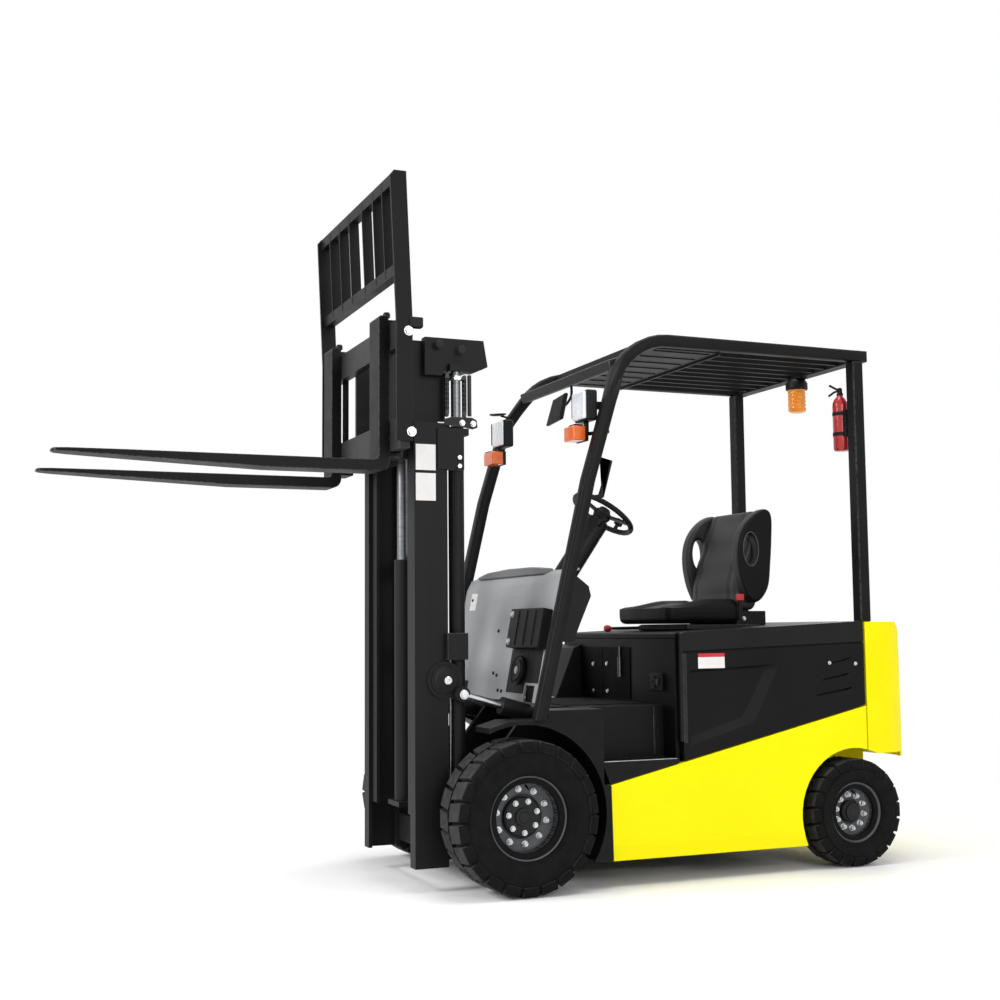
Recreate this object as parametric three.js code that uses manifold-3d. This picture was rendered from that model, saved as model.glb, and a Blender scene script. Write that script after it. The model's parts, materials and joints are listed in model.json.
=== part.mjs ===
// A four-wheel electric counterbalance forklift truck, in millimetres, +Z up.
// It is built with X = 0 on the front axle, X forwards, Y to the left and Z = 0 on the floor,
// and the whole group is then moved so that X = 0 is halfway between fork tips and counterweight.
import * as THREE from "three";
import { mergeVertices } from "three/addons/utils/BufferGeometryUtils.js";
import Module from "manifold-3d";

const wasm = await Module();
wasm.setup();

// ---------- driving dimensions ----------
const GAP = 0.3; // between pieces that rest on each other
const RUN = 0.5; // running clearance of shafts, pistons and rollers

const WHEELBASE = 1545;
const FRONT_TYRE = { radius: 298, width: 225, offset: 507, bore: 130, bead: 158, beadHalf: 80 };
const REAR_TYRE = { radius: 228, width: 170, offset: 487, bore: 102, bead: 124, beadHalf: 55 };
const WHEEL_SIDES = 36;

const BODY_HALF = 550; // half width over the side panels
const PANEL = 28; // thickness of a side panel
const SILL_BOTTOM = 102;
const SILL_FRONT = -376; // front edge of the side sills
const SILL_FRONT_TOP = 400;
const BODY_SEAM = -1614; // seam between side panels and counterweight
const FLOOR_TOP = 700;
const TREAD_TOP = 490; // step tread
const STEP_FRONT = -342;
const FENDER_CREST = -106; // where the high rear part of a front fender ends
const PILLAR_SEAT = 664;
const FENDER_OUT = 560;
const FENDER_IN = 410;
const BULKHEAD_FRONT = -690; // front wall of the battery compartment
const BULKHEAD_WALL = 16;
const BULKHEAD_TOP = 972;
const HOOD_FRONT_TOP = 997;
const HOOD_REAR_TOP = 1040;
const HOOD_WALL = 22;
const SEAM = 6; // open seam round lids

const REAR_END = -1900;
const CW_TOP = 1036;
const CW_BOTTOM = 450;
const CW_CORNER = 200;
const DECK_TOP = 512;

const GUARD_HALF = 515; // outer face of the overhead guard
const FLARE_OUT = 70; // the front legs stand this much wider than the roof rails
const GUARD_TUBE_Y = 55;
const GUARD_TUBE_X = 50;
const ROOF_TOP = 2244;
const RAIL_HEIGHT = 54;
const REAR_PILLAR = { x0: -1684, x1: -1630, y0: 458, y1: 515 };
const GUARD_REAR = -1712;

const MAST_FRONT = 366;
const MAST_REAR = 226;
const MAST_HALF = 333;
const MAST_FLANGE = 16;
const MAST_LIP = 61; // depth of a flange, measured from the outer face of the web
const OUTER_BOTTOM = 92;
const OUTER_TOP = 1845;
const NEST = 71; // step from the outer web face to the inner web face
const INNER_FRONT = 352;
const INNER_REAR = 240;
const INNER_FLANGE = 14;
const INNER_LIP = 57;
const INNER_BOTTOM = 290;
const INNER_TOP = 2190;
const INNER_DROP = 190; // how far the raised inner mast can come down
const FREE_LIFT = 1430; // how far the carriage can come down in the inner mast

const CARRIAGE_FRONT = 489;
const BAR_DEPTH = 40;
const CARRIAGE_HALF = 520;
const LOWER_BAR = { z0: 1711, z1: 1831 };
const UPPER_BAR = { z0: 2111, z1: 2219 };
const FORK = { tip: 1752, thick: 45, width: 125, offset: 336, top: 1679, shankTop: 2250, tipThick: 12 };

const PIVOT_SLEEVE = 76; // radius of the axle tube, on which the mast saddles turn
const TILT_PIN = { x: 180, z: 762 };
const TILT_REAR = { x: -415, z: 590 };
const TILT_PLATE = { x: 243, z: 819, radius: 74 };
const TILT_Y = 364;

const KINGPIN = 95; // from the middle of a rear wheel inwards to its kingpin
const STEER_SWEEP = 298; // room for the turning rear wheel, round its kingpin

const WHEEL_TILT = THREE.MathUtils.degToRad(35); // slope of the steering wheel
const STEER_HUB = { x: -638, z: 1526 };
const STEER_RING = 143;

// ---------- worked-out places ----------
const flatHeight = (radius) => radius * Math.cos(Math.PI / WHEEL_SIDES);
const FRONT_Z = flatHeight(FRONT_TYRE.radius);
const REAR_Z = flatHeight(REAR_TYRE.radius);
const REAR_X = -WHEELBASE;
const FRONT_ARCH = FRONT_TYRE.radius + 54;
const REAR_ARCH = REAR_TYRE.radius + 44;
const KINGPIN_Y = REAR_TYRE.offset - KINGPIN;
const FORK_BOTTOM = FORK.top - FORK.thick;
const SHANK_FRONT = CARRIAGE_FRONT + GAP + FORK.thick;

// ---------- materials ----------
const paint = (color, roughness, metalness) =>
  new THREE.MeshStandardMaterial({ color, roughness, metalness });
const BLACK = paint(0x1c1d1f, 0.5, 0.2);
const YELLOW = paint(0xf4ea12, 0.35, 0.1);
const GREY = paint(0x8a8f94, 0.45, 0.3);
const STEEL = paint(0x34363a, 0.45, 0.8);
const CHROME = paint(0xc9ccd0, 0.15, 1.0);
const RUBBER = paint(0x141414, 0.9, 0.0);
const VINYL = paint(0x1a1b1d, 0.6, 0.0);
const PLASTIC = paint(0x202124, 0.6, 0.0);
const AMBER = paint(0xf08a1a, 0.3, 0.0);
const RED = paint(0xc4161c, 0.35, 0.0);
const IRON = paint(0x2a2b2d, 0.6, 0.6);

// ---------- solids ----------
// A closed geometry as a solid that can be joined or cut; one that is inside out is turned.
function solid(shape) {
  if (!shape.isBufferGeometry) return shape;
  const bare = new THREE.BufferGeometry();
  bare.setAttribute("position", shape.getAttribute("position").clone());
  if (shape.index) bare.setIndex(shape.index.clone());
  const merged = mergeVertices(bare, 1e-3);
  const p = merged.getAttribute("position");
  const corners = [new THREE.Vector3(), new THREE.Vector3(), new THREE.Vector3()];
  const faces = [];
  let volume = 0;
  for (let i = 0; i < merged.index.count; i += 3) {
    const ids = [0, 1, 2].map((k) => merged.index.getX(i + k));
    if (ids[0] === ids[1] || ids[1] === ids[2] || ids[2] === ids[0]) continue;
    ids.forEach((id, k) => corners[k].fromBufferAttribute(p, id));
    volume += corners[0].dot(corners[1].clone().cross(corners[2]));
    faces.push(ids);
  }
  const turned = volume < 0 ? faces.map(([a, b, c]) => [a, c, b]) : faces;
  const vertProperties = new Float32Array(p.array);
  const mesh = new wasm.Mesh({ numProp: 3, vertProperties, triVerts: new Uint32Array(turned.flat()) });
  mesh.merge();
  return new wasm.Manifold(mesh);
}

const join = (...shapes) => shapes.map(solid).reduce((a, b) => a.add(b));
const cut = (shape, ...tools) => tools.map(solid).reduce((a, b) => a.subtract(b), solid(shape));
const common = (a, b) => solid(a).intersect(solid(b));

function box(x0, x1, y0, y1, z0, z1) {
  const g = new THREE.BoxGeometry(Math.abs(x1 - x0), Math.abs(y1 - y0), Math.abs(z1 - z0));
  return g.translate((x0 + x1) / 2, (y0 + y1) / 2, (z0 + z1) / 2);
}

const flatPoints = (pairs) => pairs.map(([a, b]) => new THREE.Vector2(a, b));

// A flat outline pushed through a thickness, with rounded edges where a bevel is given.
function extrude(outline, depth, bevel, steps) {
  const shape = outline instanceof THREE.Shape ? outline : new THREE.Shape(flatPoints(outline));
  const edge = { bevelEnabled: bevel > 0, bevelSize: bevel, bevelThickness: bevel, bevelOffset: -bevel };
  const settings = { depth: depth - 2 * bevel, bevelSegments: steps, curveSegments: 8, ...edge };
  return new THREE.ExtrudeGeometry(shape, settings).translate(0, 0, bevel);
}

// Outline in X and Z, pushed from y0 to y1.
function sidePlate(outline, y0, y1, bevel = 0, steps = 2) {
  const g = extrude(outline, Math.abs(y1 - y0), bevel, steps);
  return g.rotateX(Math.PI / 2).translate(0, Math.max(y0, y1), 0);
}

// Outline in X and Y, pushed from z0 to z1.
function planPlate(outline, z0, z1, bevel = 0, steps = 2) {
  return extrude(outline, z1 - z0, bevel, steps).translate(0, 0, z0);
}

// A profile of [radius, distance along the axis] points, turned round that axis.
function turned(profile, axis, x, y, z, sides = 24) {
  const g = new THREE.LatheGeometry(flatPoints(profile), sides).rotateY(Math.PI / sides);
  if (axis === "x") g.rotateZ(-Math.PI / 2);
  if (axis === "z") g.rotateX(Math.PI / 2);
  return g.translate(x, y, z);
}

const pin = (axis, radius, from, to, x, y, z, sides = 24) =>
  turned([[0, from], [radius, from], [radius, to], [0, to]], axis, x, y, z, sides);

// A turned profile that stands upright at x and y.
const upright = (profile, x, y, sides = 20) =>
  new THREE.LatheGeometry(flatPoints(profile), sides).rotateX(Math.PI / 2).translate(x, y, 0);

// A turned profile whose axis runs in the X-Z plane from a to b.
function turnedAlong(profile, a, b, y, sides = 20) {
  const g = new THREE.LatheGeometry(flatPoints(profile), sides);
  const direction = new THREE.Vector3(b.x - a.x, 0, b.z - a.z).normalize();
  g.applyQuaternion(new THREE.Quaternion().setFromUnitVectors(new THREE.Vector3(0, 1, 0), direction));
  return g.translate(a.x, y, a.z);
}

// The outline of a flat bar of the given width that follows a centre line.
function ribbon(line, width) {
  const left = [];
  const right = [];
  line.forEach((point, i) => {
    const before = line[Math.max(i - 1, 0)];
    const after = line[Math.min(i + 1, line.length - 1)];
    const run = after.clone().sub(before).normalize();
    const leg = (i ? point.clone().sub(before) : after.clone().sub(point)).normalize();
    const mitre = Math.max(run.dot(leg), 0.5);
    const side = new THREE.Vector2(-run.y, run.x).multiplyScalar(width / 2 / mitre);
    left.push(point.clone().add(side));
    right.push(point.clone().sub(side));
  });
  return new THREE.Shape([...left, ...right.reverse()]);
}

// Points of an arc in degrees, with an even number of steps.
function arc(x, z, radius, from, to, steps) {
  return Array.from({ length: steps + 1 }, (_, i) => {
    const a = THREE.MathUtils.degToRad(from + ((to - from) * i) / steps);
    return [x + radius * Math.cos(a), z + radius * Math.sin(a)];
  });
}

const truck = new THREE.Group();

function node(name, shape, material) {
  const made = solid(shape).getMesh();
  const g = new THREE.BufferGeometry();
  g.setAttribute("position", new THREE.BufferAttribute(new Float32Array(made.vertProperties), 3));
  g.setIndex(new THREE.BufferAttribute(new Uint32Array(made.triVerts), 1));
  g.computeVertexNormals();
  const mesh = new THREE.Mesh(g, material);
  mesh.name = name;
  truck.add(mesh);
}

const SIDES = [
  ["left", 1],
  ["right", -1],
];

// Two limits in Y, measured outwards, on the given side.
const span = (side, a, b) => (side > 0 ? [a, b] : [-b, -a]);

// ---------- wheels ----------
function tyre({ radius, width, bore, bead, beadHalf }) {
  const half = width / 2;
  const shoulder = half - 16;
  const wall = [
    [bore, beadHalf],
    [bead + 4, beadHalf],
    [bead + 8, half - 12],
    [(bead + radius) / 2, half],
    [radius - 30, half - 2],
    [radius - 8, shoulder],
    [radius, shoulder - 14],
  ];
  return [...wall.map(([r, d]) => [r, -d]), ...wall.reverse(), [bore, -beadHalf]];
}

// Rim with its two flanges, a dished disc and a hub cap, outer side at positive distance.
function rim({ bore, bead, beadHalf }, dish, hub) {
  const well = bore - RUN;
  const inside = bore - 12;
  const flange = beadHalf + 9;
  return [
    [0, dish],
    [inside, dish],
    [inside, -flange],
    [bead, -flange],
    [bead, -beadHalf - RUN],
    [well, -beadHalf - RUN],
    [well, beadHalf + RUN],
    [bead, beadHalf + RUN],
    [bead, flange],
    [inside, flange - 4],
    [inside, dish + 12],
    [hub, dish + 12],
    [hub, dish + 34],
    [0, dish + 34],
  ];
}

const FRONT_DISH = 10;
const REAR_DISH = 10;

for (const [where, side] of SIDES) {
  const set = (profile) => profile.map(([r, d]) => [r, d * side]);
  const front = [0, side * FRONT_TYRE.offset, FRONT_Z, WHEEL_SIDES];
  const rear = [REAR_X, side * REAR_TYRE.offset, REAR_Z, WHEEL_SIDES];
  node("front_" + where + "_tyre", turned(set(tyre(FRONT_TYRE)), "y", ...front), RUBBER);
  node("front_" + where + "_rim", turned(set(rim(FRONT_TYRE, FRONT_DISH, 62)), "y", ...front), STEEL);
  node("rear_" + where + "_tyre", turned(set(tyre(REAR_TYRE)), "y", ...rear), RUBBER);
  node("rear_" + where + "_rim", turned(set(rim(REAR_TYRE, REAR_DISH, 46)), "y", ...rear), STEEL);
}

// ---------- axles and knuckles ----------
function driveAxle() {
  const end = FRONT_TYRE.offset + FRONT_DISH - GAP;
  const half = [
    [0, end],
    [58, end],
    [58, end - 16],
    [104, end - 20],
    [104, end - 92],
    [PIVOT_SLEEVE, end - 96],
    [PIVOT_SLEEVE, 185],
    [135, 150],
  ];
  const profile = [...half, ...half.map(([r, d]) => [r, -d]).reverse()];
  const motor = pin("y", 105, -150, 150, -175, 0, FRONT_Z + 60, 24);
  return join(turned(profile, "y", 0, 0, FRONT_Z, WHEEL_SIDES), motor);
}
node("drive_axle", driveAxle(), IRON);

const YOKE_HALF = 62; // half height of the steer axle
const BEAM_HALF = 50; // half of its length along X
const YOKE_GAP = 40; // half of the opening that holds a knuckle
const NECK = 28;

function steerAxle() {
  const beamEnd = KINGPIN_Y - YOKE_HALF;
  const slab = (x, y0, y1) => box(REAR_X - x, REAR_X + x, y0, y1, REAR_Z - YOKE_HALF, REAR_Z + YOKE_HALF);
  const beam = slab(BEAM_HALF, -beamEnd, beamEnd);
  const arms = SIDES.map(([, side]) => {
    const y = side * KINGPIN_Y;
    const bar = slab(NECK, side * (beamEnd - 5), y);
    const end = pin("z", NECK, REAR_Z - YOKE_HALF, REAR_Z + YOKE_HALF, REAR_X, y, 0);
    const [y0, y1] = span(side, KINGPIN_Y - 42, KINGPIN_Y + 60);
    return cut(join(bar, end), box(REAR_X - 90, REAR_X + 90, y0, y1, REAR_Z - YOKE_GAP, REAR_Z + YOKE_GAP));
  });
  const mount = box(REAR_X - 45, REAR_X + 45, -78, 78, REAR_Z + YOKE_HALF - 2, AXLE_SEAT - GAP);
  return join(beam, mount, ...arms);
}
const AXLE_SEAT = 345; // underside of the rear rail
node("steer_axle", steerAxle(), IRON);

for (const [where, side] of SIDES) {
  const y = side * KINGPIN_Y;
  const half = YOKE_GAP - RUN;
  const boss = pin("z", 30, REAR_Z - half, REAR_Z + half, REAR_X, y, 0);
  const reach = KINGPIN + REAR_DISH - GAP;
  const [s0, s1] = span(side, KINGPIN_Y, KINGPIN_Y + reach);
  const spindle = pin("y", 28, s0, s1, REAR_X, 0, REAR_Z);
  const [f0, f1] = span(side, KINGPIN_Y + reach - 14, KINGPIN_Y + reach);
  const flange = pin("y", 44, f0, f1, REAR_X, 0, REAR_Z);
  node("rear_" + where + "_knuckle", join(boss, spindle, flange), IRON);
}

// ---------- chassis ----------
const FRAME_PLATE = { y0: 215, y1: 240 };
const TRAY_REAR = -1240;
const TRAY_HALF = BODY_HALF - PANEL - GAP;
const TRAY_BOTTOM = SILL_BOTTOM + 8;
const BATTERY = { length: 466, half: 480, top: 900 };
const HINGE = { x: -1594, z: 1026, post: 12, pin: 7 };
const HINGE_AT = [378, 420, 446]; // post from, post to and pin end, measured outwards

function chassisFrame() {
  const parts = [];
  for (const [, side] of SIDES) {
    const [y0, y1] = span(side, FRAME_PLATE.y0, FRAME_PLATE.y1);
    const outline = [
      [BULKHEAD_FRONT - 2, 130],
      [-60, 130],
      [100, 200],
      [100, 400],
      [20, 470],
      [-120, 640],
      [-160, FLOOR_TOP - 10 - GAP],
      [BULKHEAD_FRONT - 2, FLOOR_TOP - 10 - GAP],
    ];
    const sleeve = pin("y", PIVOT_SLEEVE + RUN, y0 - 1, y1 + 1, 0, 0, FRONT_Z, WHEEL_SIDES);
    parts.push(cut(sidePlate(outline, y0, y1), sleeve));
    const [p0, p1] = span(side, FRAME_PLATE.y1 - 2, TILT_Y + 22);
    parts.push(pin("y", 14, p0, p1, TILT_REAR.x, 0, TILT_REAR.z, 16));
    const [h0, h1] = span(side, HINGE_AT[0], HINGE_AT[1]);
    const [, h2] = span(side, HINGE_AT[0], HINGE_AT[2]);
    const pinEnd = side > 0 ? [h0, h2] : [-HINGE_AT[2], h1];
    parts.push(box(HINGE.x - 10, HINGE.x + 10, h0, h1, DECK_TOP - 2, HINGE.z));
    parts.push(pin("y", HINGE.post, h0, h1, HINGE.x, 0, HINGE.z, 16));
    parts.push(pin("y", HINGE.pin, ...pinEnd, HINGE.x, 0, HINGE.z, 16));
  }
  parts.push(box(-420, -390, -FRAME_PLATE.y0 - 2, FRAME_PLATE.y0 + 2, 200, 640));
  const wide = (x0, x1, z0, z1) => box(x0, x1, -TRAY_HALF, TRAY_HALF, z0, z1);
  parts.push(wide(BULKHEAD_FRONT - BULKHEAD_WALL, BULKHEAD_FRONT, TRAY_BOTTOM, BULKHEAD_TOP));
  parts.push(wide(TRAY_REAR, BULKHEAD_FRONT - 2, TRAY_BOTTOM, TRAY_BOTTOM + 20));
  parts.push(wide(TRAY_REAR, TRAY_REAR + 12, TRAY_BOTTOM + 2, DECK_TOP));
  parts.push(wide(BODY_SEAM + 2, TRAY_REAR + 2, DECK_TOP - 12, DECK_TOP));
  parts.push(box(BODY_SEAM + 2, TRAY_REAR + 2, -80, 80, AXLE_SEAT, DECK_TOP - 2));
  return join(...parts);
}
node("chassis_frame", chassisFrame(), BLACK);

const batteryFront = BULKHEAD_FRONT - BULKHEAD_WALL - 30;
const batteryBlock = box(
  batteryFront - BATTERY.length,
  batteryFront,
  -BATTERY.half,
  BATTERY.half,
  TRAY_BOTTOM + 20 + GAP,
  BATTERY.top,
);
node("battery_block", batteryBlock, STEEL);

const SLOT = { y0: TILT_Y - 58, y1: TILT_Y + 60, x: -300 };
const FLOOR_FRONT = -150;
function floorPlate() {
  const half = FENDER_IN - GAP;
  const plate = box(BULKHEAD_FRONT + GAP, FLOOR_FRONT, -half, half, FLOOR_TOP - 10, FLOOR_TOP);
  const slots = SIDES.map(([, side]) => {
    const [y0, y1] = span(side, SLOT.y0, SLOT.y1);
    return box(SLOT.x, 0, y0, y1, FLOOR_TOP - 60, FLOOR_TOP + 60);
  });
  return cut(plate, ...slots);
}
node("floor_plate", floorPlate(), PLASTIC);

// Height of the line where the black panels meet the yellow ones.
const MID_SEAM = { x: -740, z: 482 };
const REAR_SEAM_Z = 676;
function seamHeight(x) {
  if (x > MID_SEAM.x) {
    return SILL_FRONT_TOP + ((SILL_FRONT - x) / (SILL_FRONT - MID_SEAM.x)) * (MID_SEAM.z - SILL_FRONT_TOP);
  }
  return MID_SEAM.z + ((MID_SEAM.x - x) / (MID_SEAM.x - BODY_SEAM)) * (REAR_SEAM_Z - MID_SEAM.z);
}

for (const [where, side] of SIDES) {
  const archEnd = THREE.MathUtils.radToDeg(Math.asin((SILL_BOTTOM + 8 - FRONT_Z) / FRONT_ARCH));
  const outline = [
    ...arc(0, FRONT_Z, FRONT_ARCH, 66, 180 - archEnd, 22),
    [SILL_FRONT - 4, SILL_BOTTOM + 4],
    [SILL_FRONT + 2, SILL_FRONT_TOP - 2],
    [STEP_FRONT, SILL_FRONT_TOP + 4],
    [STEP_FRONT, FLOOR_TOP],
    [FENDER_CREST, FLOOR_TOP],
    [FENDER_CREST + 4, PILLAR_SEAT],
    [60, PILLAR_SEAT],
    [142, 640],
  ];
  const [y0, y1] = span(side, FENDER_IN, FENDER_OUT);
  const [t0, t1] = span(side, FENDER_IN, BODY_HALF - 2);
  const [w0, w1] = span(side, FENDER_IN, FENDER_IN + 12);
  const [f0, f1] = span(side, BODY_HALF - PANEL, BODY_HALF);
  const rear = BULKHEAD_FRONT + GAP;
  const tread = box(rear, STEP_FRONT + 2, t0, t1, TREAD_TOP - 12, TREAD_TOP);
  const wall = box(rear, STEP_FRONT + 2, w0, w1, TREAD_TOP - 2, FLOOR_TOP);
  const fascia = sidePlate(
    [
      [STEP_FRONT + 2, TREAD_TOP],
      [SILL_FRONT + 1, SILL_FRONT_TOP + 2],
      [rear, seamHeight(rear) + 2],
      [rear, TREAD_TOP],
    ],
    f0,
    f1,
  );
  node(where + "_front_fender", join(sidePlate(outline, y0, y1), tread, wall, fascia), PLASTIC);
}

for (const [where, side] of SIDES) {
  const reach = (z) => Math.sqrt(REAR_ARCH ** 2 - (z - REAR_Z) ** 2);
  const start = THREE.MathUtils.radToDeg(Math.asin((SILL_BOTTOM - REAR_Z) / REAR_ARCH));
  const end = THREE.MathUtils.radToDeg(Math.acos((BODY_SEAM - REAR_X) / REAR_ARCH));
  const outline = [
    [SILL_FRONT - 8, SILL_BOTTOM],
    [SILL_FRONT - 1, SILL_FRONT_TOP - 1],
    [MID_SEAM.x, MID_SEAM.z],
    [BODY_SEAM, REAR_SEAM_Z],
    ...arc(REAR_X, REAR_Z, REAR_ARCH, end, start, 16),
    [REAR_X + reach(SILL_BOTTOM), SILL_BOTTOM],
  ];
  const [y0, y1] = span(side, BODY_HALF - PANEL, BODY_HALF);
  node(where + "_side_sill", sidePlate(outline.slice(0, -1), y0, y1), YELLOW);
}

// ---------- counterweight ----------
function counterweight() {
  const front = BODY_SEAM - 6;
  const plan = new THREE.Shape();
  plan.moveTo(front, -BODY_HALF);
  plan.lineTo(front, BODY_HALF);
  plan.lineTo(REAR_END + CW_CORNER, BODY_HALF);
  plan.absarc(REAR_END + CW_CORNER, BODY_HALF - CW_CORNER, CW_CORNER, Math.PI / 2, Math.PI, false);
  plan.absarc(REAR_END + CW_CORNER, -BODY_HALF + CW_CORNER, CW_CORNER, Math.PI, Math.PI * 1.5, false);
  const side = [
    [front, CW_BOTTOM],
    [front, CW_TOP],
    [REAR_END + 105, CW_TOP],
    [REAR_END + 62, CW_TOP - 30],
    [REAR_END + 34, 700],
    [REAR_END, 655],
    [REAR_END, CW_BOTTOM + 20],
    [REAR_END + 20, CW_BOTTOM],
  ];
  const upper = common(planPlate(plan, CW_BOTTOM, CW_TOP), sidePlate(side, -BODY_HALF - 1, BODY_HALF + 1));
  const lower = planPlate(
    [
      [front, -300],
      [front, 300],
      [REAR_END + 90, 260],
      [REAR_END + 60, 200],
      [REAR_END + 60, -200],
      [REAR_END + 90, -260],
    ],
    210,
    CW_BOTTOM + 2,
  );
  const cuts = [];
  for (const [, s] of SIDES) {
    cuts.push(pin("z", STEER_SWEEP, 0, REAR_Z + REAR_TYRE.radius + 16, REAR_X, s * KINGPIN_Y, 0, 48));
    const [y0, y1] = span(s, KINGPIN_Y - STEER_SWEEP + 40, BODY_HALF + 2);
    cuts.push(pin("y", REAR_ARCH, y0, y1, REAR_X, 0, REAR_Z, 64));
  }
  return cut(join(upper, lower), ...cuts);
}
node("counterweight", counterweight(), YELLOW);

// ---------- battery hood ----------
function hoodTop(x) {
  const share = (BULKHEAD_FRONT - x) / (BULKHEAD_FRONT - BODY_SEAM);
  return HOOD_FRONT_TOP + share * (HOOD_REAR_TOP - HOOD_FRONT_TOP);
}
const HOOD_REAR = BODY_SEAM + 4;
const HOOD_EDGE = BULKHEAD_FRONT - BULKHEAD_WALL - SEAM;
function batteryHood() {
  const top = sidePlate(
    [
      [BULKHEAD_FRONT, hoodTop(BULKHEAD_FRONT) - HOOD_WALL],
      [BULKHEAD_FRONT, hoodTop(BULKHEAD_FRONT) - 6],
      [BULKHEAD_FRONT - 8, hoodTop(BULKHEAD_FRONT)],
      [HOOD_REAR, hoodTop(HOOD_REAR)],
      [HOOD_REAR, hoodTop(HOOD_REAR) - HOOD_WALL],
    ],
    -BODY_HALF + PANEL - 2,
    BODY_HALF - PANEL + 2,
  );
  const parts = [top];
  const tools = [];
  for (const [, side] of SIDES) {
    const [y0, y1] = span(side, BODY_HALF - PANEL, BODY_HALF);
    const outline = [
      [HOOD_EDGE, seamHeight(HOOD_EDGE) + SEAM],
      [HOOD_EDGE, hoodTop(HOOD_EDGE) - 4],
      [HOOD_EDGE - 8, hoodTop(HOOD_EDGE)],
      [HOOD_REAR, hoodTop(HOOD_REAR)],
      [HOOD_REAR, REAR_SEAM_Z + SEAM],
      [MID_SEAM.x, MID_SEAM.z + SEAM],
    ];
    parts.push(sidePlate(outline, y0, y1));
    const [l0, l1] = span(side, HINGE_AT[1] + 4, HINGE_AT[2] + 14);
    parts.push(box(HOOD_REAR, HINGE.x + 16, l0, l1, HINGE.z - 16, hoodTop(HINGE.x) - 4));
    const [n0, n1] = span(side, HINGE_AT[0] - 4, HINGE_AT[1] + 4);
    tools.push(box(HOOD_REAR - 10, HINGE.x + 20, n0, n1, HINGE.z - 30, HOOD_REAR_TOP + 10));
    const [b0, b1] = span(side, HINGE_AT[1], HINGE_AT[2] + 2);
    tools.push(pin("y", HINGE.pin + RUN, b0, b1, HINGE.x, 0, HINGE.z, 16));
  }
  return cut(join(...parts), ...tools);
}
node("battery_hood", batteryHood(), BLACK);

// ---------- seat ----------
const SEAT = { front: -826, back: -1345, half: 240, baseTop: 1034, deck: 1090 };
node(
  "seat_base",
  sidePlate(
    [
      [SEAT.front - 100, hoodTop(SEAT.front - 100) + GAP],
      [SEAT.front - 100, SEAT.baseTop - GAP],
      [-1190, SEAT.baseTop - GAP],
      [-1190, SEAT.deck],
      [SEAT.back, SEAT.deck],
      [SEAT.back, hoodTop(SEAT.back) + GAP],
    ],
    -205,
    205,
  ),
  IRON,
);
node(
  "seat_cushion",
  sidePlate(
    [
      [SEAT.front - 14, SEAT.baseTop],
      [SEAT.front, 1066],
      [SEAT.front - 10, 1120],
      [-900, 1136],
      [-1080, 1130],
      [-1186, 1140],
      [-1186, SEAT.baseTop],
    ],
    -SEAT.half,
    SEAT.half,
    14,
  ),
  VINYL,
);
const SEAT_WING = { from: 196, to: 250 };
function seatBackrest() {
  const core = [
    [-1196, 1144],
    [-1196, SEAT.deck + GAP],
    [-1300, SEAT.deck + GAP],
    [-1334, 1200],
    [-1366, 1510],
    [-1352, 1548],
    [-1316, 1546],
    [-1268, 1370],
    [-1226, 1200],
  ];
  const wing = new THREE.Shape([
    [-1224, 1150],
    [-1180, 1220],
    [-1158, 1310],
    [-1168, 1400],
    [-1208, 1470],
    [-1280, 1526],
    [-1346, 1546],
    [-1362, 1508],
    [-1330, 1190],
    [-1296, 1130],
  ].map(([x, z]) => new THREE.Vector2(x, z)));
  const hole = new THREE.Path();
  hole.absellipse(-1246, 1364, 30, 66, 0, Math.PI * 2, true, 0.1);
  wing.holes.push(hole);
  const wings = SIDES.map(([, side]) => sidePlate(wing, ...span(side, SEAT_WING.from, SEAT_WING.to), 0));
  return join(sidePlate(core, -200, 200), ...wings);
}
node("seat_backrest", seatBackrest(), VINYL);

// ---------- operator's controls ----------
const COWL = { foot: { x: -104, z: 722 }, top: { x: -196, z: 1196 }, sheet: 8 };
const COWL_HALF = GUARD_HALF + FLARE_OUT - GUARD_TUBE_Y - GAP;
function cowlBack(z) {
  const share = (z - COWL.foot.z) / (COWL.top.z - COWL.foot.z);
  return COWL.foot.x + share * (COWL.top.x - COWL.foot.x) - COWL.sheet / 2 - 2 * GAP;
}
function frontCowl() {
  const line = [
    new THREE.Vector2(COWL.foot.x, COWL.foot.z),
    new THREE.Vector2(COWL.top.x, COWL.top.z),
    new THREE.Vector2(-218, 1236),
    new THREE.Vector2(-262, 1256),
  ];
  const notches = SIDES.map(([, side]) => {
    const [y0, y1] = span(side, TILT_Y - 48, TILT_Y + 44);
    return box(-200, 0, y0, y1, 650, 790);
  });
  return cut(sidePlate(ribbon(line, COWL.sheet), -COWL_HALF, COWL_HALF), ...notches);
}
node("front_cowl", frontCowl(), GREY);

const COLUMN_DIR = { x: Math.sin(WHEEL_TILT), z: -Math.cos(WHEEL_TILT) };
const along = (distance) => ({
  x: STEER_HUB.x + COLUMN_DIR.x * distance,
  z: STEER_HUB.z + COLUMN_DIR.z * distance,
});
const HUB_DEPTH = 32;
const COLUMN_TOP = HUB_DEPTH + GAP; // from the wheel's middle down to the end of the column
function dashboard() {
  const console = sidePlate(
    [
      [cowlBack(1184), 1184],
      [cowlBack(962), 962],
      [-285, 965],
      [-312, 1030],
      [-366, 1150],
      [-356, 1190],
      [-290, 1240],
      [-236, 1236],
    ],
    -420,
    420,
  );
  const boot = [
    [0, 0],
    [30, 0],
    [30, 50],
    [50, 80],
    [50, 330],
    [40, 450],
    [0, 450],
  ];
  return join(console, turnedAlong(boot, along(COLUMN_TOP), along(COLUMN_TOP + 450), 0));
}
node("dashboard", dashboard(), PLASTIC);

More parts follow.
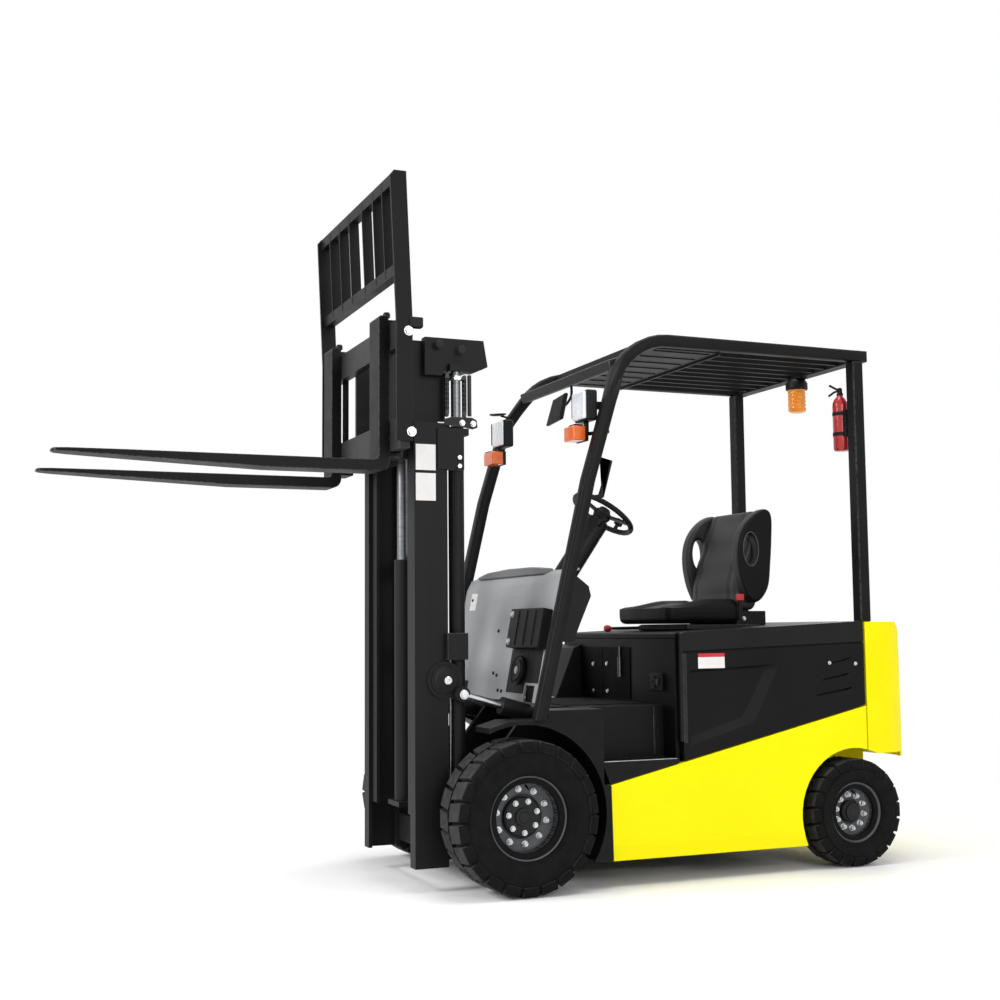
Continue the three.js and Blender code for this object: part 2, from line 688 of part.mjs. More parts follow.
function steeringWheel() {
  const ring = new THREE.TorusGeometry(STEER_RING, 12.5, 8, 28).rotateX(Math.PI / 2);
  const hubProfile = [
    [0, -HUB_DEPTH],
    [34, -HUB_DEPTH],
    [42, -8],
    [38, 8],
    [0, 12],
  ];
  const hub = new THREE.LatheGeometry(flatPoints(hubProfile), 20);
  const spokes = [90, 210, 330].map((angle) => {
    const spoke = new THREE.BoxGeometry(STEER_RING - 20, 9, 26).translate(20 + STEER_RING / 2, -6, 0);
    return spoke.rotateY(THREE.MathUtils.degToRad(angle));
  });
  const knobProfile = [
    [0, 6],
    [9, 6],
    [9, 30],
    [20, 34],
    [20, 58],
    [0, 64],
  ];
  const knob = new THREE.LatheGeometry(flatPoints(knobProfile), 12);
  knob.translate(-STEER_RING, 0, 0);
  const lean = new THREE.Quaternion().setFromUnitVectors(
    new THREE.Vector3(0, 1, 0),
    new THREE.Vector3(-COLUMN_DIR.x, 0, -COLUMN_DIR.z),
  );
  const place = new THREE.Matrix4().makeRotationFromQuaternion(lean).setPosition(STEER_HUB.x, 0, STEER_HUB.z);
  return join(...[ring, hub, ...spokes, knob].map((g) => g.applyMatrix4(place)));
}
node("steering_wheel", steeringWheel(), PLASTIC);

// ---------- overhead guard ----------
const RAIL_Z = ROOF_TOP - RAIL_HEIGHT / 2;
const PILLAR = {
  foot: { x: -52, z: 610 },
  knee: { x: -289, z: 1608 },
  bend: { x: -391, z: 1937 },
  roof: -700,
};
const FLARE = { out: FLARE_OUT, from: 2100, to: 1950 };
function guardLine() {
  const path = new THREE.Path();
  path.moveTo(PILLAR.foot.x, PILLAR.foot.z);
  path.lineTo(PILLAR.knee.x, PILLAR.knee.z);
  path.lineTo(PILLAR.bend.x, PILLAR.bend.z);
  path.quadraticCurveTo(-500, RAIL_Z, PILLAR.roof, RAIL_Z);
  path.lineTo(GUARD_REAR, RAIL_Z);
  return path.getPoints(9);
}

// Moves the leg part of a guard tube outwards.
function flare(g, side) {
  const p = g.getAttribute("position");
  for (let i = 0; i < p.count; i++) {
    const t = 1 - THREE.MathUtils.smoothstep(p.getZ(i), FLARE.to, FLARE.from);
    p.setY(i, p.getY(i) + side * t * FLARE.out);
  }
  return g;
}
for (const [where, side] of SIDES) {
  const [y0, y1] = span(side, GUARD_HALF - GUARD_TUBE_Y, GUARD_HALF);
  const tube = sidePlate(ribbon(guardLine(), GUARD_TUBE_X), y0, y1, 10, 2);
  const below = box(-200, 100, side * 400, side * 700, 500, PILLAR_SEAT + GAP);
  node(where + "_front_pillar", cut(flare(tube, side), below), BLACK);
  const r = REAR_PILLAR;
  const [r0, r1] = span(side, r.y0, r.y1);
  const post = box(r.x0, r.x1, r0, r1, CW_TOP + GAP, RAIL_Z - GUARD_TUBE_X / 2 - GAP);
  node(where + "_rear_pillar", post, BLACK);
}

const SLATS = 9;
const INNER_GUARD = GUARD_HALF - GUARD_TUBE_Y - GAP;
function roofGrille() {
  const z0 = ROOF_TOP - 52;
  const z1 = ROOF_TOP - 16;
  const parts = [
    box(-690, -630, -INNER_GUARD, INNER_GUARD, z0, z1),
    box(GUARD_REAR + 4, GUARD_REAR + 62, -INNER_GUARD, INNER_GUARD, z0, z1),
  ];
  const step = (2 * INNER_GUARD) / (SLATS + 1);
  for (let i = 1; i <= SLATS; i++) {
    const y = -INNER_GUARD + i * step;
    parts.push(box(GUARD_REAR + 50, -680, y - 7, y + 7, z0 + 4, z1 - 1));
  }
  return join(...parts);
}
node("roof_grille", roofGrille(), BLACK);
node(
  "guard_front_crossbar",
  sidePlate(
    [
      [-500, 2096],
      [-452, 2082],
      [-440, 2126],
      [-488, 2142],
    ],
    -INNER_GUARD,
    INNER_GUARD,
  ),
  BLACK,
);

// ---------- fittings ----------
const LEG_INSIDE = GUARD_HALF + FLARE_OUT - GUARD_TUBE_Y - GAP;
for (const [where, side] of SIDES) {
  const at = (a, b) => span(side, a, b);
  const headlamp = box(-328, -296, ...at(402, 472), 1878, 1978);
  const signal = box(-308, -270, ...at(428, 488), 1798, 1846);
  const arm = box(-398, -328, ...at(505, LEG_INSIDE), 1905, 1935);
  const plate = box(-338, -326, ...at(420, LEG_INSIDE), 1898, 1942);
  const strip = box(-338, -326, ...at(452, 478), 1800, 1900);
  const ear = box(-328, -306, ...at(452, 478), 1806, 1838);
  node(where + "_front_lamps", join(headlamp, signal, arm, plate, strip, ear), PLASTIC);
}
const CROSSBAR_UNDER = [
  [-500, 2096],
  [-452, 2082],
];
node(
  "rear_view_mirror",
  join(
    box(-402, -378, -8, 146, 1908, 2022),
    box(-470, -396, 62, 78, 2000, 2014),
    box(-470, -460, 62, 78, 2002, 2080),
    sidePlate(
      [
        [CROSSBAR_UNDER[0][0], CROSSBAR_UNDER[0][1] - GAP],
        [CROSSBAR_UNDER[1][0], CROSSBAR_UNDER[1][1] - GAP],
        [CROSSBAR_UNDER[1][0], CROSSBAR_UNDER[1][1] - 10],
        [CROSSBAR_UNDER[0][0], CROSSBAR_UNDER[0][1] - 24],
      ],
      50,
      90,
    ),
  ),
  PLASTIC,
);
const BEACON = { x: -1676, y: 17 };
const ROOF_UNDER = ROOF_TOP - 52;
const beaconProfile = [
  [0, 2034],
  [32, 2034],
  [42, 2046],
  [44, 2140],
  [52, 2142],
  [52, ROOF_UNDER - GAP],
  [0, ROOF_UNDER - GAP],
];
node("beacon", upright(beaconProfile, BEACON.x, BEACON.y, 24), AMBER);
function extinguisher() {
  const x = -1640;
  const y = 400;
  const bottle = [
    [0, 1800],
    [34, 1800],
    [36, 1812],
    [36, 2020],
    [24, 2044],
    [12, 2052],
    [12, 2072],
    [18, 2074],
    [18, 2104],
    [0, 2104],
  ];
  const bracket = box(x - 16, x + 8, y + 20, REAR_PILLAR.y0 - GAP, 1880, 1960);
  return join(upright(bottle, x, y), bracket);
}
node("fire_extinguisher", extinguisher(), RED);
function grabHandle() {
  const line = [
    new THREE.Vector2(-292, 1538),
    new THREE.Vector2(-348, 1546),
    new THREE.Vector2(-392, 1690),
    new THREE.Vector2(-330, 1700),
  ];
  const y = GUARD_HALF + FLARE_OUT - GUARD_TUBE_Y / 2;
  const room = sidePlate(ribbon(guardLine(), GUARD_TUBE_X + 2 * GAP), y - 20, y + 20);
  const whole = cut(sidePlate(ribbon(line, 16), y - 8, y + 8), room);
  return whole.decompose().sort((a, b) => b.volume() - a.volume())[0];
}
node("grab_handle", grabHandle(), PLASTIC);

// ---------- mast ----------
// Channel section of an upright, open inwards: web on the outside, lips front and rear.
function channel(side, { outer, front, rear, flange, lip }, z0, z1) {
  const web = outer - flange;
  const outline = [
    [rear, outer],
    [front, outer],
    [front, outer - lip],
    [front - flange, outer - lip],
    [front - flange, web],
    [rear + flange, web],
    [rear + flange, outer - lip],
    [rear, outer - lip],
  ].map(([x, y]) => [x, y * side]);
  return planPlate(outline, z0, z1);
}

const INNER_HALF = MAST_HALF - NEST;
const OUTER_SECTION = {
  outer: MAST_HALF,
  front: MAST_FRONT,
  rear: MAST_REAR,
  flange: MAST_FLANGE,
  lip: MAST_LIP,
};
const INNER_SECTION = {
  outer: INNER_HALF,
  front: INNER_FRONT,
  rear: INNER_REAR,
  flange: INNER_FLANGE,
  lip: INNER_LIP,
};
const LIFT = { x: 176, y: 300, radius: 32, bore: 28, rod: 20, foot: 430, top: 1835 };
const TIE_REAR = 211;
function outerMast() {
  const parts = [];
  const tools = [];
  for (const [, side] of SIDES) {
    parts.push(channel(side, OUTER_SECTION, OUTER_BOTTOM, OUTER_TOP));
    const [s0, s1] = span(side, 285, 325);
    const saddle = [
      [MAST_REAR + 4, 150],
      [MAST_REAR + 4, LIFT.foot - 5],
      [150, LIFT.foot - 5],
      ...arc(0, FRONT_Z, 112, 70, 290, 12),
    ];
    parts.push(sidePlate(saddle, s0, s1));
    tools.push(pin("y", PIVOT_SLEEVE + RUN, s0 - 2, s1 + 2, 0, 0, FRONT_Z, WHEEL_SIDES));
    const [c0, c1] = span(side, LIFT.y - 38, MAST_HALF);
    const clamp = box(LIFT.x - 44, MAST_REAR + 4, c0, c1, LIFT.top - 36, LIFT.top - 8);
    parts.push(clamp);
    tools.push(pin("z", LIFT.radius + RUN, LIFT.foot + 20, LIFT.top + 2, LIFT.x, side * LIFT.y, 0, 24));
    parts.push(box(LIFT.x - 34, MAST_REAR + 4, c0, c1, LIFT.foot - 30, LIFT.foot - GAP));
    const [d0, d1] = span(side, MAST_HALF - 2, MAST_HALF + 8);
    const disc = (at, radius, sides) =>
      sidePlate(arc(at.x, at.z, radius, 0, 360, sides).slice(0, -1), d0, d1);
    parts.push(disc(TILT_PLATE, TILT_PLATE.radius, 24));
    parts.push(disc(TILT_PIN, 34, 16));
    parts.push(box(156, 270, d0, d1, 1658, 1824));
    const [p0, p1] = span(side, MAST_HALF + 6, TILT_Y + 22);
    parts.push(pin("y", 12, p0, p1, TILT_PIN.x, 0, TILT_PIN.z, 16));
    const [k0, k1] = span(side, MAST_HALF - 10, MAST_HALF);
    parts.push(box(140, MAST_REAR + 2, k0, k1, 900, 1000));
  }
  const ties = [
    [120, 230],
    [900, 980],
    [1760, OUTER_TOP - 6],
  ];
  const tieHalf = MAST_HALF - 10;
  ties.forEach(([z0, z1]) => parts.push(box(TIE_REAR, MAST_REAR + 2, -tieHalf, tieHalf, z0, z1)));
  return cut(join(...parts), ...tools);
}
node("outer_mast", outerMast(), BLACK);

const ROLLER = (MAST_FRONT - MAST_REAR) / 2 - MAST_FLANGE - RUN;
const MAST_MID = (MAST_FRONT + MAST_REAR) / 2;
const CROSSHEAD = { z0: 2045, z1: 2200 };
function innerMast() {
  const parts = [];
  for (const [, side] of SIDES) {
    parts.push(channel(side, INNER_SECTION, INNER_BOTTOM, INNER_TOP));
    const [r0, r1] = span(side, INNER_HALF - 2, MAST_HALF - MAST_FLANGE - RUN);
    parts.push(pin("y", ROLLER, r0, r1, MAST_MID, 0, INNER_BOTTOM + 64, 24));
    const cheek = [
      [308, CROSSHEAD.z0],
      [308, CROSSHEAD.z1],
      [52, CROSSHEAD.z1],
      [34, 2092],
      [96, 2064],
      [222, 2064],
      [236, CROSSHEAD.z0],
    ];
    const [c0, c1] = span(side, INNER_HALF - 4, INNER_HALF + 38);
    parts.push(sidePlate(cheek, c0, c1));
    const [b0, b1] = span(side, INNER_HALF, LIFT.y + 28);
    parts.push(box(LIFT.x - 34, LIFT.x + 34, b0, b1, 2062, 2092));
  }
  parts.push(box(60, 232, -INNER_HALF, INNER_HALF, CROSSHEAD.z1 - 22, CROSSHEAD.z1));
  parts.push(box(52, 66, -INNER_HALF, INNER_HALF, 2100, CROSSHEAD.z1));
  const ties = [
    [INNER_BOTTOM + 10, INNER_BOTTOM + 120],
    [1250, 1330],
    [2080, 2150],
  ];
  const tieHalf = INNER_HALF - INNER_LIP + 4;
  ties.forEach(([z0, z1]) => {
    parts.push(box(INNER_REAR, INNER_REAR + INNER_FLANGE, -tieHalf, tieHalf, z0, z1));
  });
  parts.push(box(INNER_REAR, 345, -70, 70, INNER_BOTTOM + 10, INNER_BOTTOM + 30));
  return join(...parts);
}
node("inner_mast", innerMast(), BLACK);

// Main lift cylinders, behind the uprights.
const ROD_BOTTOM = LIFT.foot + 30 + INNER_DROP;
for (const [where, side] of SIDES) {
  const y = side * LIFT.y;
  const barrel = [
    [0, LIFT.foot],
    [LIFT.radius, LIFT.foot],
    [LIFT.radius, LIFT.top],
    [LIFT.rod + RUN, LIFT.top],
    [LIFT.rod + RUN, LIFT.top - 40],
    [LIFT.bore, LIFT.top - 40],
    [LIFT.bore, LIFT.foot + 12],
    [0, LIFT.foot + 12],
  ];
  node(where + "_lift_cylinder", upright(barrel, LIFT.x, y), BLACK);
  const rod = [
    [0, ROD_BOTTOM],
    [LIFT.bore - RUN, ROD_BOTTOM],
    [LIFT.bore - RUN, ROD_BOTTOM + 30],
    [LIFT.rod, ROD_BOTTOM + 32],
    [LIFT.rod, 2062 - GAP],
    [0, 2062 - GAP],
  ];
  node(where + "_lift_rod", upright(rod, LIFT.x, y), CHROME);
}

// Free-lift cylinder, standing in the inner mast; its rod head carries the two chain sheaves.
const FREE = { x: 300, radius: 38, bore: 33, rod: 26, foot: INNER_BOTTOM + 30, top: 1310, head: 2068 };
const axial = (profile) => upright(profile, FREE.x, 0);
node(
  "free_lift_cylinder",
  axial([
    [0, FREE.foot + GAP],
    [FREE.radius, FREE.foot + GAP],
    [FREE.radius, FREE.top],
    [FREE.rod + RUN, FREE.top],
    [FREE.rod + RUN, FREE.top - 40],
    [FREE.bore, FREE.top - 40],
    [FREE.bore, FREE.foot + 12],
    [0, FREE.foot + 12],
  ]),
  BLACK,
);
function freeLiftRod() {
  const bottom = FREE.foot + 20 + FREE_LIFT / 2;
  const rod = axial([
    [0, bottom],
    [FREE.bore - RUN, bottom],
    [FREE.bore - RUN, bottom + 30],
    [FREE.rod, bottom + 32],
    [FREE.rod, FREE.head],
    [0, FREE.head],
  ]);
  const yoke = box(FREE.x - 20, FREE.x + 20, -88, 88, FREE.head - 24, FREE.head + 20);
  const sheaves = SIDES.map(([, side]) => {
    const groove = [
      [0, -16],
      [40, -16],
      [40, -12],
      [34, -10],
      [34, 10],
      [40, 12],
      [40, 16],
      [0, 16],
    ];
    return turned(groove, "y", FREE.x, side * 66, FREE.head, 24);
  });
  return join(rod, yoke, ...sheaves);
}
node("free_lift_rod", freeLiftRod(), CHROME);

// ---------- carriage, backrest and forks ----------
const BAR_REAR = CARRIAGE_FRONT - BAR_DEPTH;
const CARRIER = { y0: 176, y1: 196 };
const CARRIAGE_ROLLER = (INNER_FRONT - INNER_REAR) / 2 - INNER_FLANGE - RUN;
const INNER_MID = (INNER_FRONT + INNER_REAR) / 2;
function carriage() {
  const bar = (z0, z1) => box(BAR_REAR, CARRIAGE_FRONT, -CARRIAGE_HALF, CARRIAGE_HALF, z0, z1);
  const parts = [bar(LOWER_BAR.z0, LOWER_BAR.z1), bar(UPPER_BAR.z0, UPPER_BAR.z1)];
  for (const [, side] of SIDES) {
    const [y0, y1] = span(side, CARRIER.y0, CARRIER.y1);
    const outline = [
      [BAR_REAR + 2, LOWER_BAR.z0],
      [BAR_REAR + 2, UPPER_BAR.z1 - 10],
      [INNER_MID - 30, UPPER_BAR.z1 - 40],
      [INNER_MID - 30, LOWER_BAR.z0 + 20],
      [INNER_MID + 20, LOWER_BAR.z0],
    ];
    parts.push(sidePlate(outline, y0, y1));
    const [r0, r1] = span(side, CARRIER.y1 - 2, INNER_HALF - INNER_FLANGE - RUN);
    for (const z of [LOWER_BAR.z0 + 70, UPPER_BAR.z1 - 90]) {
      parts.push(pin("y", CARRIAGE_ROLLER, r0, r1, INNER_MID, 0, z, 24));
    }
    const [m0, m1] = span(side, 300, 330);
    parts.push(box(BAR_REAR, BAR_REAR + 20, m0, m1, LOWER_BAR.z1 - 5, UPPER_BAR.z0 + 5));
  }
  return join(...parts);
}
node("carriage", carriage(), BLACK);

const REST = { foot: 1738, knee: 2212, top: 2797, rear: 440, depth: 66, lean: 25, plate: 12, lower: 2394 };
const REST_BARS = [-390, -240, -90, 95, 245, 365];
function loadBackrest() {
  const leanAt = (z) => (REST.lean * Math.max(0, z - REST.knee)) / (REST.top - REST.knee);
  const slant = (z0, z1, rear, depth) => [
    [rear + leanAt(z0), z0],
    [rear + depth + leanAt(z0), z0],
    [rear + depth + leanAt(z1), z1],
    [rear + leanAt(z1), z1],
  ];
  const out = CARRIAGE_HALF + GAP + REST.plate;
  const parts = [];
  for (const [, side] of SIDES) {
    const [y0, y1] = span(side, out - REST.plate, out);
    const leg = [
      [REST.rear, REST.foot],
      [REST.rear + REST.depth, REST.foot],
      [REST.rear + REST.depth, REST.knee],
      [REST.rear + REST.depth + REST.lean, REST.top - 20],
      [REST.rear + REST.depth + REST.lean - 16, REST.top],
      [REST.rear + REST.lean, REST.top],
      [REST.rear, REST.knee],
    ];
    parts.push(sidePlate(leg, y0, y1));
  }
  const inside = out - REST.plate + 2;
  const bar = 44;
  parts.push(sidePlate(slant(REST.top - bar, REST.top, REST.rear + 8, 40), -inside, inside));
  parts.push(sidePlate(slant(REST.lower, REST.lower + bar, REST.rear + 8, 40), -inside, inside));
  for (const y of REST_BARS) {
    parts.push(sidePlate(slant(REST.lower + 10, REST.top - 10, REST.rear + 6, 44), y - 4, y + 4));
  }
  return join(...parts);
}
node("load_backrest", loadBackrest(), BLACK);

for (const [where, side] of SIDES) {
  const back = CARRIAGE_FRONT + GAP;
  const outline = [
    [back, FORK_BOTTOM + 40],
    ...arc(back + 40, FORK_BOTTOM + 40, 40, 180, 270, 6).slice(1),
    [back + 480, FORK_BOTTOM],
    [FORK.tip - 4, FORK.top - FORK.tipThick],
    [FORK.tip, FORK.top - 6],
    [FORK.tip - 6, FORK.top],
    ...arc(SHANK_FRONT + 16, FORK.top + 16, 16, 270, 180, 4),
    [SHANK_FRONT, FORK.shankTop - 8],
    [SHANK_FRONT - 8, FORK.shankTop],
    [back + 6, FORK.shankTop],
    [back + 6, FORK.shankTop - 16],
    [BAR_REAR - 14, FORK.shankTop - 16],
    [BAR_REAR - 14, UPPER_BAR.z1 - 22],
    [BAR_REAR - 4, UPPER_BAR.z1 - 22],
    [BAR_REAR - 4, UPPER_BAR.z1 + GAP],
    [back, UPPER_BAR.z1 + GAP],
    [back, LOWER_BAR.z0 - 4],
    [BAR_REAR - 4, LOWER_BAR.z0 - 4],
    [BAR_REAR - 4, LOWER_BAR.z0 + 20],
    [BAR_REAR - 14, LOWER_BAR.z0 + 20],
    [BAR_REAR - 14, LOWER_BAR.z0 - 22],
    [back, LOWER_BAR.z0 - 22],
  ];
  const y = side * FORK.offset;
  const y0 = y - FORK.width / 2;
  const y1 = y + FORK.width / 2;
  const blade = sidePlate(outline, y0, y1);
  const taper = planPlate(
    [
      [0, y0 - 1],
      [FORK.tip - 260, y0 - 1],
      [FORK.tip - 260, y0],
      [FORK.tip - 60, y0 + 10],
      [FORK.tip - 14, y0 + 24],
      [FORK.tip + 1, y - 12],
      [FORK.tip + 1, y + 12],
      [FORK.tip - 14, y1 - 24],
      [FORK.tip - 60, y1 - 10],
      [FORK.tip - 260, y1],
      [FORK.tip - 260, y1 + 1],
      [0, y1 + 1],
    ],
    0,
    FORK.shankTop + 10,
  );
  node(where + "_fork", common(blade, taper), BLACK);
}

// ---------- tilt cylinders ----------
const tiltLength = Math.hypot(TILT_PIN.x - TILT_REAR.x, TILT_PIN.z - TILT_REAR.z);
const TILT = { radius: 36, bore: 30, rod: 16, barrelEnd: 450, piston: 290, eye: 30 };
for (const [where, side] of SIDES) {
  const y = side * TILT_Y;
  const eyeAt = (p, hole, radius) => {
    const ring = pin("y", radius, y - 15, y + 15, p.x, 0, p.z, 20);
    return [ring, pin("y", hole, y - 16, y + 16, p.x, 0, p.z, 20)];
  };
  const [rearRing, rearHole] = eyeAt(TILT_REAR, 14 + RUN, 32);
  const tube = turnedAlong(
    [
      [0, 24],
      [TILT.radius, 30],
      [TILT.radius, TILT.barrelEnd],
      [TILT.rod + RUN, TILT.barrelEnd],
      [TILT.rod + RUN, TILT.barrelEnd - 30],
      [TILT.bore, TILT.barrelEnd - 30],
      [TILT.bore, 60],
      [0, 60],
    ],
    TILT_REAR,
    TILT_PIN,
    y,
  );
  node(where + "_tilt_cylinder", cut(join(tube, rearRing), rearHole), BLACK);
  const [frontRing, frontHole] = eyeAt(TILT_PIN, 12 + 3.5, TILT.eye);
  const rod = turnedAlong(
    [
      [0, TILT.piston],
      [TILT.bore - RUN, TILT.piston],
      [TILT.bore - RUN, TILT.piston + 30],
      [TILT.rod, TILT.piston + 32],
      [TILT.rod, tiltLength - 22],
      [0, tiltLength - 22],
    ],
    TILT_REAR,
    TILT_PIN,
    y,
  );
  node(where + "_tilt_rod", cut(join(rod, frontRing), frontHole), CHROME);
}

truck.position.x = -(FORK.tip + REAR_END) / 2;

export default truck;
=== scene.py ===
"""The looks of an electric counterbalance forklift truck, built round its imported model."""

import json
import math

import bmesh
import bpy
from mathutils import Matrix, Vector

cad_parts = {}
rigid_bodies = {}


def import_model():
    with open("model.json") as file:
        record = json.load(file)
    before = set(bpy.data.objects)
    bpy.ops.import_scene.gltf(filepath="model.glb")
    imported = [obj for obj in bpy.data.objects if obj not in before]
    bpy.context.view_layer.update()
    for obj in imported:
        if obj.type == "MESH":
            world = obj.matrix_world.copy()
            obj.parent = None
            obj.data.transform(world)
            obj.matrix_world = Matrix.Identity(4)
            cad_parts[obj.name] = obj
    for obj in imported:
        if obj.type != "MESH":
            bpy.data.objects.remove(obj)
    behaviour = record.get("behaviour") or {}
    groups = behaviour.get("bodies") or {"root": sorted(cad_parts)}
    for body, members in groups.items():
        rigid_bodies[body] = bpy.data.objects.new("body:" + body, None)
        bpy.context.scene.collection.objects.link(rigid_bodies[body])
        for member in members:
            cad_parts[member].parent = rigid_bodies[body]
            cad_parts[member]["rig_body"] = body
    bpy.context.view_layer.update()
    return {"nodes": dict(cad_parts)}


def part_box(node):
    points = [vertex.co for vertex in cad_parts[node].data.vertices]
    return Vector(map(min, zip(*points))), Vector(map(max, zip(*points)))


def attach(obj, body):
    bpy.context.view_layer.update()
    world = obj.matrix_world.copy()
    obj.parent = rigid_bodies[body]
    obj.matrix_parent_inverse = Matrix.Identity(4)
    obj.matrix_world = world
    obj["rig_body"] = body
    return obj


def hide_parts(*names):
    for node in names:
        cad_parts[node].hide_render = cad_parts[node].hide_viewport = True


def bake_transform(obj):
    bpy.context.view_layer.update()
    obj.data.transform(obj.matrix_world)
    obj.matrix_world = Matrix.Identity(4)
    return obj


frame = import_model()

# ---------------------------------------------------------------- places
# Sizes are written in millimetres from the front axle: x forwards, y to the left, z up.
MM = 0.001
TYRE_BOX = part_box("front_left_tyre")
AXLE_X = (TYRE_BOX[0].x + TYRE_BOX[1].x) / 2
SIDES = (("left", 1), ("right", -1))


def at(x, y, z):
    """A place on the truck as a point in metres."""
    return Vector((AXLE_X + x * MM, y * MM, z * MM))


# ---------------------------------------------------------------- nodes
def add(tree, kind, sockets=None, **settings):
    """Adds a node, sets its settings, and fills or links its input sockets."""
    node = tree.nodes.new(kind)
    for key, value in settings.items():
        setattr(node, key, value)
    for key, value in (sockets or {}).items():
        if isinstance(value, bpy.types.NodeSocket):
            tree.links.new(value, node.inputs[key])
        else:
            node.inputs[key].default_value = value
    return node


def linear(code):
    """An sRGB hex colour as linear red, green, blue and alpha."""
    parts = [int(code[i : i + 2], 16) / 255 for i in (1, 3, 5)]
    return [p / 12.92 if p <= 0.04045 else ((p + 0.055) / 1.055) ** 2.4 for p in parts] + [1.0]


# ---------------------------------------------------------------- finishes
WORN_AND_HIGHLIGHT_COAT = {}
RGBA_A, RGBA_B, RGBA_OUT = 6, 7, 2


def finish(
    name, base, other, slot=None, blotch=90, rough=(0.4, 0.5), grain=4.0, height=0.03,
    cells=False, stretch=(1, 1, 1), wear_and_highlight=None, **sockets,
):
    """A surface whose colour drifts between two hex values over blotch mm; grain and height are in mm too.
    A second hex colour, if given, makes a second coat, in short flecks, for the rounded edges: part edge wear
    and part painted highlight, the paler edges standing in for light caught there."""
    # The paler edge coat is partly edge wear and partly a painted highlight along the rounded edges.
    if wear_and_highlight:
        WORN_AND_HIGHLIGHT_COAT[name] = finish(name + "_worn_and_highlight", base, wear_and_highlight, None, 16, rough, grain, height, **sockets)
    made = bpy.data.materials.new(name)
    made.use_nodes = True
    tree = made.node_tree
    tree.nodes.clear()
    named = {key.replace("_", " "): value for key, value in sockets.items()}
    shader = add(tree, "ShaderNodeBsdfPrincipled", named)
    place = add(tree, "ShaderNodeTexCoord")
    spread = add(tree, "ShaderNodeMapping", {"Vector": place.outputs["Object"], "Scale": stretch})
    patch = add(
        tree, "ShaderNodeTexNoise",
        {"Vector": spread.outputs[0], "Scale": 1000 / blotch, "Detail": 5.0, "Roughness": 0.62},
    )
    share = add(tree, "ShaderNodeMapRange", {"Value": patch.outputs[0], "From Min": 0.35, "From Max": 0.65})
    colour = add(
        tree, "ShaderNodeMix", {0: share.outputs[0], RGBA_A: linear(base), RGBA_B: linear(other)},
        data_type="RGBA",
    )
    gloss = add(
        tree, "ShaderNodeMapRange",
        {"Value": patch.outputs[0], "From Min": 0.3, "From Max": 0.7, "To Min": rough[0], "To Max": rough[1]},
    )
    if cells:
        relief = add(
            tree, "ShaderNodeTexVoronoi", {"Vector": spread.outputs[0], "Scale": 1000 / grain},
            feature="DISTANCE_TO_EDGE",
        )
    else:
        relief = add(
            tree, "ShaderNodeTexNoise", {"Vector": spread.outputs[0], "Scale": 1000 / grain, "Detail": 3.0},
        )
    bump = add(tree, "ShaderNodeBump", {"Height": relief.outputs[0], "Distance": height * MM, "Strength": 1.0})
    tree.links.new(colour.outputs[RGBA_OUT], shader.inputs["Base Color"])
    tree.links.new(gloss.outputs[0], shader.inputs["Roughness"])
    tree.links.new(bump.outputs[0], shader.inputs["Normal"])
    add(tree, "ShaderNodeOutputMaterial", {"Surface": shader.outputs[0]})
    return made


# Two-pack gloss enamel, sprayed: an even bright coat with a faint orange peel and a clear shine.
YELLOW_ENAMEL = finish(
    "yellow_enamel", "#fbef00", "#fff502", "body_yellow", 400, (0.34, 0.42), 9, 0.02, Specular_IOR_Level=0.12,
)
# The same enamel over rough cast iron: the sand texture of the casting shows through the coat.
YELLOW_CASTING = finish(
    "yellow_casting", "#f8ea00", "#fff202", "body_yellow", 300, (0.38, 0.5), 7, 0.08, Specular_IOR_Level=0.12,
)
# Semi-matt black polyester powder coat: a fine even texture and soft grey highlights; its rounded edges take a
# paler coat, partly wear and partly painted highlight.
BLACK_POWDER = finish(
    "black_powder_coat", "#0f0f10", "#151516", "frame_black", 160, (0.42, 0.52), 2.6, 0.03, wear_and_highlight="#3e3f41",
    Specular_IOR_Level=0.13,
)
# Black chassis paint on rolled mast channel: smoother, with long faint drawing marks.
MAST_PAINT = finish(
    "mast_paint", "#161617", "#1e1e1f", "frame_black", 240, (0.42, 0.54), 5, 0.03, stretch=(1, 1, 0.12),
    wear_and_highlight="#434446", Specular_IOR_Level=0.13,
)
# The hood's upper band is moulded in a slightly paler black; the same colour is a painted highlight on the
# pocket's forward-facing walls and on the rounded front corner of the hood.
BAND_AND_HIGHLIGHT_PANEL = finish(
    "upper_band_and_painted_highlight", "#131314", "#19191a", "hood_black", 260, (0.44, 0.52), 2.2, 0.05,
    Specular_IOR_Level=0.15,
)
# Moulded black ABS panels: satin, with a fine spark-eroded texture, drawn a little coarse so that it shows.
BLACK_PANEL = finish(
    "black_abs_panel", "#0c0c0d", "#111112", "hood_black", 260, (0.44, 0.52), 2.2, 0.05, wear_and_highlight="#2e2f30",
    Specular_IOR_Level=0.12,
)
# Satin grey painted sheet steel: pale, almost even, a soft sheen.
GREY_SHEET = finish(
    "grey_painted_sheet", "#9b9c9e", "#a4a5a7", "grey_panel", 200, (0.42, 0.5), 6, 0.02, Specular_IOR_Level=0.3,
)
# The rolled top of the cowl wears the same paint, drawn darker as painted shade.
SHADED_SHEET = finish(
    "grey_sheet_painted_shade", "#6f7072", "#7a7b7d", "grey_panel", 200, (0.42, 0.5), 6, 0.02, Specular_IOR_Level=0.2,
)
# Dead-matt black of the screwed service panels.
MATT_PANEL = finish(
    "matt_service_panel", "#08080a", "#0e0e0f", "frame_black", 120, (0.6, 0.7), 3, 0.05, Specular_IOR_Level=0.1,
)
# Black painted battery steel tray, dull and dusty.
BATTERY_STEEL = finish("battery_case_steel", "#18191b", "#222426", "battery_steel", 120, (0.5, 0.62), 4, 0.04)
